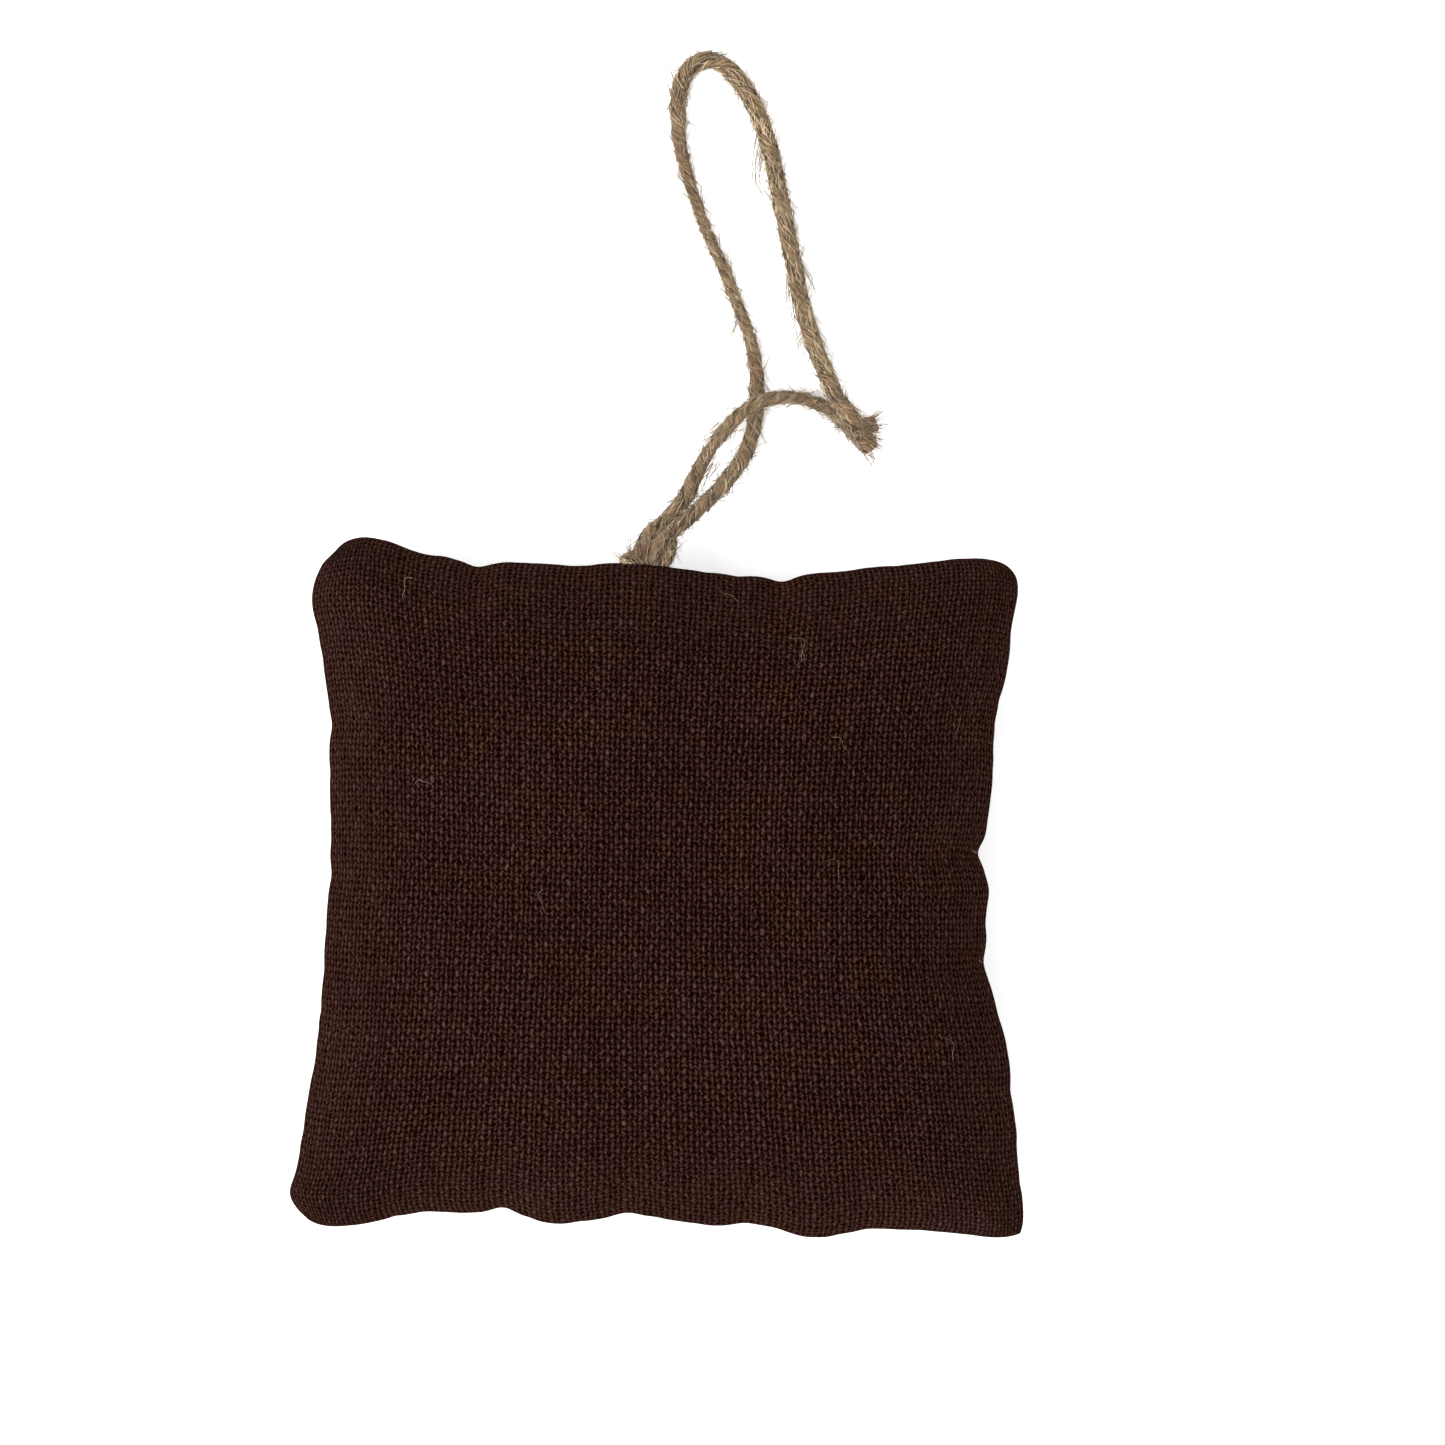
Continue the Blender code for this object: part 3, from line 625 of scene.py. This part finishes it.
def make_flyaways():
    """Long fibres that have worked loose from the twine and lie beside it."""
    share = np.linspace(0, 1, FLYAWAY_POINTS)
    lines = []
    for count, spread, height, route in FLYAWAYS:
        middle = knot_curve([(x, y, 0) for x, y in route])
        middle[:, 2] = height * MM
        line = points_at(share, np.linspace(0, 1, len(middle)), middle)
        for _ in range(count):
            start, bend, wave = rng.normal(0, spread * MM, (3, 3))
            bent = line + start + 1.5 * bend * share[:, None] ** 2
            lines.append(bent + wave * 0.4 * np.sin(share[:, None] * rng.uniform(3, 7)))
    lines = np.array(lines)
    lines[..., 2] = np.maximum(lines[..., 2], 0.1 * MM)
    return fibre_piece("loose_fibres", lines, rng.uniform(*FLYAWAY_RADII, len(lines)) * MM)


add_camera()
long_strand, long_points, short_strand, short_points = make_strands()
make_seam_knot()
make_bight()
join, join_tail = make_end_join()
flyaways = make_flyaways()
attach(flyaways, "hanging_loop")


# ---------------- the cushion's shape

PILLOW_SIZE = np.array([105.0, 100.6]) * MM
FRONT_RISE = 16.5 * MM
BACK_DEPTH = SEAM_LEVEL
# How far each corner is drawn in, across and up, and how far the middle of each side is.
TOP_LEFT_INSET = (3.2 * MM, 0.0)
TOP_RIGHT_INSET = (1.0 * MM, 3.0 * MM)
BOTTOM_LEFT_INSET = (0.0, 1.7 * MM)
LEFT_DRAW, RIGHT_DRAW, TOP_DRAW, BOTTOM_DRAW = 5.9 * MM, 7.4 * MM, 5.7 * MM, 4.5 * MM
CORNER_BLUNTING = {(-1, 1): 0.085, (1, 1): 0.062, (-1, -1): 0.066, (1, -1): 0.048}
BLUNTING_POWER = 8
SWELL_POWER, CORNER_POWER = 0.7, 4.0
FLAT_LEVEL = 0.88               # of a full back, above which it lies flat on the table
HALF_GAP = 0.12 * MM            # from the seam's plane to either panel's edge
TWINE_X = -0.9 * MM
EYELET_LIFT, EYELET_HALF_WIDTH = 1.5 * MM, 4.2 * MM     # where the panels part round the twine
EYELET_REACH = 5                # inwards from the seam, in millimetres
SIDES = {"left": (0, -1), "right": (0, 1), "bottom": (1, -1), "top": (1, 1)}    # axis and sense

# Where the sewn edge wanders from its even curve: place along the side, outward distance and half
# width of the stretch, in millimetres.
EDGE_SWAYS = {
    "left": [(27, -0.2, 7), (-6, 0.25, 6), (-27, -0.1, 9), (41, 0.7, 4), (26, -0.25, 6),
             (-43.5, 1, 2.5)],
    "right": [(39, -0.6, 5), (26, -0.5, 7), (4.9, -0.6, 2.6), (-0.6, 0.5, 2), (-11, -0.4, 3),
              (-24, 1.5, 7.5), (42, 0.8, 5), (31, 0.65, 6), (17, 0.4, 6), (-34, 0.65, 4)],
    "bottom": [(-33, -2.1, 9.5), (-22, -1.2, 3.6), (-14, 0.5, 4), (-4, -0.6, 4), (8, 0.8, 5),
               (22, 1.9, 6), (42, -0.5, 5), (-15, 0.85, 40), (36, -0.3, 4)],
    "top": [(-34, -0.9, 4.5), (-26, -0.9, 3.5), (-4, 0.85, 7), (12, -0.5, 4), (17.8, -0.9, 3.2),
            (40, -0.6, 7), (-41, 0.9, 6), (-25, -0.2, 4), (0, 0.35, 14), (25, -0.4, 4),
            (42, 0.6, 6)]}
SWAY_FADE = 11                  # inwards from the seam, in millimetres

# Puckers that run inwards from the seam: place along the side, depth, half width and reach, in
# millimetres.
PUCKERS = {
    "left": [(23.5, 0.9, 2, 8), (2, 0.5, 1.8, 7), (-24, 0.5, 2.2, 7)],
    "right": [(5, 1.5, 1.5, 9), (-10.5, 0.9, 1.6, 8), (20, 0.5, 2, 8)],
    "bottom": [(-22.6, 1, 1.7, 8), (-4.2, 0.9, 1.8, 8), (30, 0.8, 2, 8), (12, 0.5, 1.8, 6)],
    "top": [(-26, 1.1, 1.7, 9), (17.8, 1.2, 1.8, 9), (-12, 0.5, 1.8, 7)]}
PUCKER_PULL = 0.35              # of the sewn edge inwards, as a share of the pucker's depth
PUCKER_FLARE = 0.14             # what each millimetre from the seam adds to the half width
PUCKER_WANDER = 0.12            # how far each millimetre from the seam may lead it aside
PUCKER_START = 1.2              # from the seam, in millimetres
GATHER_STEP = 5.5               # spacing of the seam's small gathers, in millimetres
GATHERS = {side: [(at + rng.uniform(-2, 2), rng.uniform(0.1, 0.4), rng.uniform(0.9, 1.6), rng.uniform(3, 6))
                  for at in np.arange(-44, 45, GATHER_STEP)] for side in ("left", "right", "top", "bottom")}
BROAD_LUMPS, SMALL_LUMPS = 15, 7        # widths of the filling's lumps, in millimetres
LUMP_HEIGHT = 0.35 * MM


def value_noise(x, y, seed):
    """Smooth noise from -1 to 1 that changes over about one unit."""
    table = np.random.default_rng(seed).uniform(-1, 1, (64, 64))
    i, j = np.floor(x).astype(int), np.floor(y).astype(int)
    s, t = x - i, y - j
    s, t = s * s * (3 - 2 * s), t * t * (3 - 2 * t)
    low = table[i % 64, j % 64] * (1 - s) + table[(i + 1) % 64, j % 64] * s
    high = table[i % 64, (j + 1) % 64] * (1 - s) + table[(i + 1) % 64, (j + 1) % 64] * s
    return low * (1 - t) + high * t


def drawn_outline(u, v):
    """Grid points from -1 to 1 moved to the cushion's drawn-in outline."""
    blunting = sum(amount * (1 + right * u) * (1 + top * v) / 4
                   for (right, top), amount in CORNER_BLUNTING.items())
    tip = 1 - blunting * np.abs(u * v) ** BLUNTING_POWER
    u, v = u * tip, v * tip
    half_width, half_height = PILLOW_SIZE / 2
    across, up = (u + 1) / 2, (v + 1) / 2
    left = BOTTOM_LEFT_INSET[0] * (1 - up) + TOP_LEFT_INSET[0] * up - half_width
    right = half_width - TOP_RIGHT_INSET[0] * up
    bottom = BOTTOM_LEFT_INSET[1] * (1 - across) - half_height
    top = half_height - TOP_LEFT_INSET[1] * (1 - across) - TOP_RIGHT_INSET[1] * across
    left = left + LEFT_DRAW * (1 - v * v)
    right = right - RIGHT_DRAW * (1 - v * v)
    bottom = bottom + BOTTOM_DRAW * (1 - u * u)
    top = top - TOP_DRAW * (1 - u * u)
    return left + (right - left) * across, bottom + (top - bottom) * up


# Reach of the drawn outline before it is fitted to the overall size.
OUTLINE_LOW = np.array([-50.25, -48.49]) * MM
OUTLINE_HIGH = np.array([50.07, 48.15]) * MM


def swell(u, v):
    """Height of a full face over the seam, as a share of its crown."""
    across = np.maximum(1e-9, 1 - u * u) ** SWELL_POWER
    up = np.maximum(1e-9, 1 - v * v) ** SWELL_POWER
    return ((across ** -CORNER_POWER + up ** -CORNER_POWER) / 2) ** (-1 / CORNER_POWER)


def side_distance(side, u, v):
    """Roughly how far grid points are from a side, in millimetres."""
    axis, sign = SIDES[side]
    return (1 - sign * (u, v)[axis]) * PILLOW_SIZE[axis] / 2 / MM


def face_points(u, v, side, lift=True):
    """Points on the outer skin of the front (side 1) or back (side -1) face, shape (..., 3), and
    how far each lies in a pucker, from 0 to 1."""
    place, moved = [], []
    for reach, low, high, size in zip(drawn_outline(u, v), OUTLINE_LOW, OUTLINE_HIGH, PILLOW_SIZE):
        fitted = (reach - (low + high) / 2) * size / (high - low)
        place.append(fitted / MM)
        moved.append(fitted)
    full = swell(u, v)
    sink, fold = np.zeros_like(full), np.zeros_like(full)
    for name, (axis, sign) in SIDES.items():
        along, away = place[1 - axis], side_distance(name, u, v)
        for at, outward, half_width in EDGE_SWAYS[name]:
            near = np.exp(-((along - at) / half_width) ** 2 - away / SWAY_FADE)
            moved[axis] = moved[axis] + sign * outward * MM * near
        for at, depth, half_width, reach in PUCKERS[name] + GATHERS[name]:
            middle = at + PUCKER_WANDER * away * math.sin(7.0 * at)
            valley = np.exp(-((along - middle) / (half_width + PUCKER_FLARE * away)) ** 2)
            near = valley * np.exp(-away / reach)
            moved[axis] = moved[axis] - sign * PUCKER_PULL * depth * MM * near
            sink += depth * MM * near * (1 - np.exp(-away / PUCKER_START))
            fold += 0.8 * depth * valley * np.exp(-away / (0.6 * reach))
    lumps = value_noise(place[0] / BROAD_LUMPS + 20, place[1] / BROAD_LUMPS + 20, 3 + side)
    lumps = lumps + 0.5 * value_noise(place[0] / SMALL_LUMPS + 20, place[1] / SMALL_LUMPS + 20, 13 + side)
    sink -= LUMP_HEIGHT * lumps * np.minimum(1, full * 1.5)
    edge = HALF_GAP
    if lift:
        eyelet = np.exp(-((moved[0] - TWINE_X) / EYELET_HALF_WIDTH) ** 4)
        edge = edge + EYELET_LIFT * eyelet * np.exp(-side_distance("top", u, v) / EYELET_REACH)
    if side > 0:
        height = edge + (FRONT_RISE - HALF_GAP) * full - sink
    else:
        height = edge + (BACK_DEPTH - HALF_GAP) * full / FLAT_LEVEL - 0.6 * sink
        over = np.maximum(0, height - 0.93 * BACK_DEPTH)
        height = np.minimum(height - 0.5 * over, BACK_DEPTH - 0.05 * MM)
    return np.stack([*moved, SEAM_LEVEL + side * height], -1), np.clip(fold, 0, 1)


# ---------------- the burlap

WARP_PITCH = 0.712 * MM         # between threads that run up the cushion
WEFT_PITCH = 0.853 * MM         # between threads that run across it
HOLE_DEPTH = 0.16 * MM          # how far the cloth sinks between four threads
BETWEEN_DEPTH = 0.05 * MM       # and between two
WEAVE_START = 1.5               # where that is full, in millimetres from the seam
ALLOWANCE_RINGS = ((0.4, 0.0), (1.2, 0.05), (8.0, 0.05))    # inset and height in millimetres


def even_cloth(axis):
    """Grid coordinates evenly spaced along the cloth over the swollen middle line of an axis, with
    two steps for each thread: every thread's middle and the gaps between them."""
    fine = np.linspace(-1, 1, 4001)
    middle = np.zeros_like(fine)
    across = drawn_outline(*((fine, middle) if axis == 0 else (middle, fine)))[axis]
    rise = FRONT_RISE * swell(fine, middle)
    length = np.concatenate([[0], np.cumsum(np.hypot(np.diff(across), np.diff(rise)))])
    pitch = (WARP_PITCH, WEFT_PITCH)[axis]
    threads = round(length[-1] / pitch)
    steps = np.linspace(0, length[-1], 2 * threads + 1)
    return np.interp(steps, length, fine), np.linspace(-1, 1, 2 * threads + 1), threads


def cloth_grid():
    """Grid u and v of the cloth's points, and their place counted in threads."""
    (curved_u, even_u, warps), (curved_v, even_v, wefts) = even_cloth(0), even_cloth(1)
    u, v = np.meshgrid(even_u, even_v)
    full_u, full_v = (1 - v * v) ** 0.35, (1 - u * u) ** 0.35
    u_place = u + (curved_u[None, :] - u) * full_u
    v_place = v + (curved_v[:, None] - v) * full_v
    count_u, count_v = np.meshgrid(np.linspace(0, warps, len(even_u)), np.linspace(0, wefts, len(even_v)))
    return u_place, v_place, count_u, count_v


def make_panel(name, side):
    """One burlap panel: the woven face, and its edge turned in along the seam."""
    u, v, threads_u, threads_v = cloth_grid()
    points, fold = face_points(u, v, side)
    rows, columns = u.shape
    rim_distance = np.minimum.reduce([side_distance(s, u, v) for s in SIDES])
    gap_u, gap_v = np.arange(columns) % 2 == 0, np.arange(rows) % 2 == 0
    hole = gap_u[None, :] & gap_v[:, None]
    between = gap_u[None, :] ^ gap_v[:, None]
    depth = (HOLE_DEPTH * hole + BETWEEN_DEPTH * between) * np.clip(rim_distance / WEAVE_START, 0, 1)
    points = (points - grid_normals(points, side) * depth[..., None]).reshape(-1, 3)
    weave = np.stack([threads_u, threads_v, rim_distance], -1).reshape(-1, 3)
    # fold goes to the material, where it paints light and shade into the puckers.
    tone = np.stack([fold, np.full_like(fold, side), np.zeros_like(fold)], -1).reshape(-1, 3)
    rim = rim_indices(rows, columns)
    verts, faces = [points], [grid_faces(rows, columns, side)]
    outer, total = rim, len(points)
    for inset, height in ALLOWANCE_RINGS:
        ring = points[rim]
        ring[:, :2] *= 1 - inset * MM / (PILLOW_SIZE.mean() / 2)
        ring[:, 2] += side * height * MM
        verts.append(ring)
        inner = np.arange(total, total + len(rim))
        faces.append(np.stack([outer, inner, np.roll(inner, -1), np.roll(outer, -1)], -1)[:, ::side])
        outer, total = inner, total + len(rim)
    panel = mesh_object(name, np.vstack(verts), np.vstack(faces))
    for attribute, values in (("weave", weave), ("tone", tone)):
        set_attribute(panel, attribute, np.vstack([values] + [values[rim]] * len(ALLOWANCE_RINGS)))
    panel.data.materials.append(burlap_material())
    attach(panel, "root")
    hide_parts("front_panel" if side > 0 else "back_panel")


@functools.cache
def burlap_material():
    """Dark brown plain weave: irregular threads over and under each other, mauve and olive patches,
    painted highlights on the threads' crowns, painted shade in the holes between them, a painted
    paler band along the seam and painted light and shade in the puckers."""
    n = Nodes("burlap")
    u, v, rim = n.split(n.attribute("weave"))
    # fold is how near a pucker a point lies; it sets the puckers' painted light and shade.
    fold = n.split(n.attribute("tone"))[0]
    sway_u = n.stretched(u, 0.45, v, 0.10, 0.0)
    sway_v = n.stretched(u, 0.10, v, 0.45, 7.0)
    u = n.plus(u, n.times(n.plus(sway_u, -0.5), 1.1))
    v = n.plus(v, n.times(n.plus(sway_v, -0.5), 1.1))
    column, row = n.math("FLOOR", u), n.math("FLOOR", v)

    def thread(across, along, number):
        """Round profile of a thread whose width and course vary along it."""
        slub = n.stretched(number, 5.3, along, 0.35, 3.0)
        half_width = n.math("MULTIPLY_ADD", n.plus(slub, -0.5), 0.50, 0.40)
        wiggle = n.stretched(number, 7.7, along, 1.7, 11.0)
        off = n.plus(n.math("FRACT", across), -0.5)
        off = n.math("MULTIPLY_ADD", n.plus(wiggle, -0.5), 1.15, off)
        ratio = n.math("DIVIDE", off, half_width)
        return n.math("SQRT", n.math("MAXIMUM", n.math("SUBTRACT", 1.0, n.times(ratio, ratio)), 0.0))

    def crossing(along, number):
        """From 1 where a thread lies over those it crosses to -1 where it lies under them."""
        return n.math("COSINE", n.times(math.pi, n.plus(n.plus(along, -0.5), number)))

    warp_height = n.times(thread(u, v, column), n.math("MULTIPLY_ADD", crossing(v, column), 0.42, 1.0))
    weft_height = n.times(thread(v, u, row), n.math("MULTIPLY_ADD", crossing(u, row), -0.42, 0.80))
    height = n.math("MAXIMUM", warp_height, weft_height)
    on_warp = n.math("GREATER_THAN", warp_height, weft_height)
    streak_warp = n.stretched(u, 4.4, v, 1.4, 0.0, 3.0, 0.6)
    streak_weft = n.stretched(u, 1.2, v, 3.4, 4.0, 3.0, 0.6)
    picked = n.plus(n.times(on_warp, streak_warp), n.times(n.math("SUBTRACT", 1.0, on_warp), streak_weft))
    cell = n.white(n.join(column, row, on_warp))
    patch = n.stretched(u, 0.10, v, 0.16, 1.0, 3.0, 0.6)
    broad = n.stretched(u, 0.035, v, 0.042, 9.0)
    # Painted highlight: lit is where a thread's crown catches the light, brightest where a warp lies on
    # top.
    lit = n.times(n.ramp(height, 0.70, 1.32), n.ramp(picked, 0.36, 0.60, 0.10, 1.0))
    lit = n.times(lit, n.math("MULTIPLY_ADD", on_warp, 0.42, 0.60))
    body = n.blend(n.ramp(patch, 0.40, 0.60), (0.0124, 0.0028, 0.003), (0.0134, 0.0036, 0.0018))
    body = n.blend(n.ramp(broad, 0.35, 0.65, 0.0, 0.5), body, (0.009, 0.0017, 0.0014))
    # Colours of the painted highlight on the thread crowns; some random crossings are painted brighter
    # still.
    top = n.blend(n.ramp(patch, 0.36, 0.64), (0.065, 0.032, 0.0325), (0.0715, 0.035, 0.0235))
    top = n.blend(n.ramp(broad, 0.35, 0.65, 0.0, 0.5), top, (0.05, 0.025, 0.021))
    top = n.blend(n.ramp(cell, 0.86, 1.0, 0.0, 0.35), top, (0.1, 0.066, 0.055))
    # Painted light and shade in the puckers: the cloth is tinted redder and lighter where it turns into
    # them.
    body = n.blend(n.times(fold, 0.45), body, (0.033, 0.0075, 0.0035))
    top = n.blend(n.times(fold, 0.45), top, (0.085, 0.032, 0.018))
    colour = n.blend(lit, body, top)
    # Painted light: a paler, flatter band along the seam, strongest at the turned edge, as bounce light
    # would give.
    colour = n.blend(n.ramp(rim, 0.0, 1.4, 0.30, 0.0), colour, (0.034, 0.015, 0.0085))
    colour = n.blend(n.ramp(rim, 0.0, 16.0, 0.31, 0.0), colour, (0.035, 0.015, 0.0095))
    # Painted shade: the holes and gaps between the threads go nearly black.
    colour = n.blend(n.ramp(height, 0.35, 0.95), (0.0042, 0.0003, 0.0002), colour)
    normal = n.bump(n.math("MULTIPLY_ADD", picked, 0.25, height), 0.34 * MM)
    return n.set(Base_Color=colour, Roughness=n.ramp(picked, 0.3, 0.7, 0.98, 0.86), Normal=normal,
                 Specular_IOR_Level=0.0, Sheen_Weight=0.003, Sheen_Roughness=0.6,
                 Sheen_Tint=(0.75, 0.55, 0.5))


# ---------------- filling and threads

@functools.cache
def fibre_fill_material():
    """White polyester fibre: soft tufts, with painted grey shade in their hollows."""
    n = Nodes("fibre_fill")
    tuft = n.noise(n.position(), 260.0, 4.0, 0.65)
    strand = n.noise(n.position(), 1500.0, 3.0, 0.7)
    # Painted shade: where the tuft noise is low, which the bump makes a hollow, the fibre is painted
    # greyer.
    colour = n.blend(n.ramp(tuft, 0.3, 0.7), (0.62, 0.61, 0.58), (0.86, 0.85, 0.82))
    colour = n.blend(n.ramp(strand, 0.45, 0.8, 0.0, 0.4), colour, (0.93, 0.93, 0.91))
    normal = n.bump(n.plus(tuft, n.times(strand, 0.5)), 0.8 * MM)
    return n.set(Base_Color=colour, Roughness=n.ramp(tuft, 0.2, 0.8, 0.98, 0.85), Normal=normal,
                 Sheen_Weight=0.3, Sheen_Roughness=0.4)


@functools.cache
def thread_material():
    """Dark brown sewing thread: fine twisted filaments with a slight gloss."""
    n = Nodes("sewing_thread")
    twist = n.noise(n.position(), 5200.0, 3.0, 0.6)
    wear = n.noise(n.position(), 420.0)
    colour = n.blend(n.ramp(twist, 0.35, 0.65), (0.01, 0.0045, 0.0035), (0.036, 0.018, 0.013))
    colour = n.blend(n.ramp(wear, 0.4, 0.7, 0.0, 0.4), colour, (0.036, 0.016, 0.012))
    return n.set(Base_Color=colour, Roughness=n.ramp(twist, 0.3, 0.7, 0.7, 0.5),
                 Normal=n.bump(twist, 0.06 * MM), Sheen_Weight=0.03)


FILL_CELLS = 72
FILL_INSET = 9.2                # from the seam, clear of the turned-in edges, in millimetres
FILL_UNDER = 1.3 * MM           # below the burlap
TUFT_WIDTH, TUFT_HEIGHT = 2.5, 0.35 * MM        # the width in millimetres


def make_filling():
    """The lumpy fibre filling inside the two panels."""
    even = np.linspace(-1, 1, FILL_CELLS + 1)
    line = np.sin(even * math.pi / 2) * 0.4 + even * 0.6        # cells get smaller towards the rim
    line *= 1 - FILL_INSET * MM / (PILLOW_SIZE.mean() / 2)
    u, v = np.meshgrid(line, line)
    rim = rim_indices(*u.shape)
    verts, faces = [], []
    for side in (1, -1):
        points = face_points(u, v, side, lift=False)[0]
        tufts = value_noise(*(points[..., k] / MM / TUFT_WIDTH + 30 for k in (0, 1)), 40 + side)
        depth = FILL_UNDER + TUFT_HEIGHT * (1 + tufts)
        points = points - grid_normals(points, side) * depth[..., None]
        faces.append(grid_faces(*u.shape, side) + len(verts) * u.size)
        verts.append(points.reshape(-1, 3))
    faces.append(np.stack([rim, rim + u.size, np.roll(rim, -1) + u.size, np.roll(rim, -1)], -1))
    filling = mesh_object("filling_fibre", np.vstack(verts), np.vstack(faces))
    filling.data.materials.append(fibre_fill_material())
    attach(filling, "root")
    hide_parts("filling")


def thread_piece(name, points, radius):
    """A sewing thread along a line of points."""
    piece = mesh_object(name, *hair_tubes(points[None], [radius], tip=1.0))
    piece.data.materials.append(thread_material())
    return piece


STITCH_STEP = 2.6               # along the closed turning gap, in millimetres
STITCH_POINTS = 16              # on each turn
STITCH_RADIUS = 0.17 * MM
GAP_FROM, GAP_TO = -16.0, 22.0  # along the right side, in millimetres


def make_closing_stitches():
    """Hand stitches that whip the turning gap shut, round the seam's edge on the right side."""
    turns = (GAP_TO - GAP_FROM) / STITCH_STEP
    angle = np.linspace(0, turns * math.tau, int(turns * STITCH_POINTS))
    y = GAP_FROM + STITCH_STEP * angle / math.tau
    v = np.interp(y, [-48, 48], [-1, 1])
    for _ in range(8):              # settles v where the seam's edge has the wanted y
        rim = face_points(np.ones_like(v), v, 1)[0]
        v += (y * MM - rim[:, 1]) / (PILLOW_SIZE[1] / 2)
    points = face_points(np.ones_like(v), v, 1)[0]
    points[:, 0] += (1.05 * np.cos(angle) - 1.25) * MM
    points[:, 2] = SEAM_LEVEL + 1.5 * np.sin(angle) * MM
    stitches = thread_piece("closing_stitches", points, STITCH_RADIUS)
    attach(stitches, "root")
    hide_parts("closing_thread")


SEAM_INSET = 1.6                # of the sewn line from the cushion's edge, in millimetres
SEAM_POINTS = 500               # along each side
SEAM_STITCH = 2.4 * MM
SEAM_RADIUS = 0.13 * MM


def make_seam_thread(name, node, side):
    """One of the two threads of the sewn seam, which runs just inside the edge all round."""
    line, one = np.linspace(-1, 1, SEAM_POINTS, endpoint=False), np.ones(SEAM_POINTS)
    u, v = np.concatenate([line, one, -line, -one]), np.concatenate([-one, line, one, -line])
    points = face_points(u, v, side, lift=False)[0]
    points[:, :2] *= 1 - SEAM_INSET * MM / (PILLOW_SIZE.mean() / 2)
    wave = np.abs(np.sin(arc_length(points) / SEAM_STITCH * math.pi))
    points[:, 2] = SEAM_LEVEL + side * (0.05 + 0.12 * wave) * MM
    seam = thread_piece(name, points, SEAM_RADIUS)
    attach(seam, "root")
    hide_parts(node)


LINT_COUNT = 13
LINT_POINTS = 14
LINT_RADII = (0.018, 0.028)     # in millimetres


def make_lint():
    """Stray pale fibres that cling to the front of the burlap."""
    share = np.linspace(0, 1, LINT_POINTS)[None, :]
    heading = rng.uniform(0, math.tau, LINT_COUNT)[:, None]
    course = heading + rng.uniform(-3, 3, LINT_COUNT)[:, None] * share + 0.5 * np.sin(share * 9 + heading)
    step = rng.uniform(0.003, 0.009, LINT_COUNT)[:, None]
    places = rng.uniform(-0.92, 0.92, (2, LINT_COUNT))
    u = np.clip(places[0][:, None] + np.cumsum(step * np.cos(course), axis=1), -0.97, 0.97)
    v = np.clip(places[1][:, None] + np.cumsum(step * np.sin(course), axis=1), -0.97, 0.97)
    lines = face_points(u, v, 1)[0]
    lines[..., 2] += 0.12 * MM
    lint = fibre_piece("lint_fibres", lines, rng.uniform(*LINT_RADII, LINT_COUNT) * MM)
    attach(lint, "root")


make_panel("front_burlap", 1)
make_panel("back_burlap", -1)
make_filling()
make_closing_stitches()
make_lint()
make_seam_thread("needle_seam", "needle_thread", 1)
make_seam_thread("bobbin_seam", "bobbin_thread", -1)

# ---------------- room

FLOOR_HALF = 4.0


def add_stage():
    """A plain white floor that glows a little like a light table, under soft light from all round and
    a lamp on the left."""
    corners = [(x * FLOOR_HALF, y * FLOOR_HALF, 0) for x, y in ((-1, -1), (1, -1), (1, 1), (-1, 1))]
    floor = mesh_object("floor", corners, np.array([(0, 1, 2, 3)]))
    white = Nodes("floor").set(Base_Color=(0.93, 0.93, 0.93), Roughness=0.9,
                               Emission_Color=(1.0, 1.0, 1.0), Emission_Strength=0.40)
    floor.data.materials.append(white)
    world = bpy.data.worlds.new("studio")
    world.use_nodes = True
    background = world.node_tree.nodes["Background"]
    background.inputs["Color"].default_value = (1.0, 1.0, 1.0, 1.0)
    background.inputs["Strength"].default_value = 1.15
    bpy.context.scene.world = world
    light = bpy.data.lights.new("key", "AREA")
    light.shape = "DISK"
    light.size = 1.2
    light.energy = 20.0
    key = add_object("key", light)
    key.location = (-0.8, -0.35, 1.1)
    key.rotation_euler = (0.25, -0.63, 0)
    bpy.context.scene.view_settings.view_transform = "Standard"


add_stage()
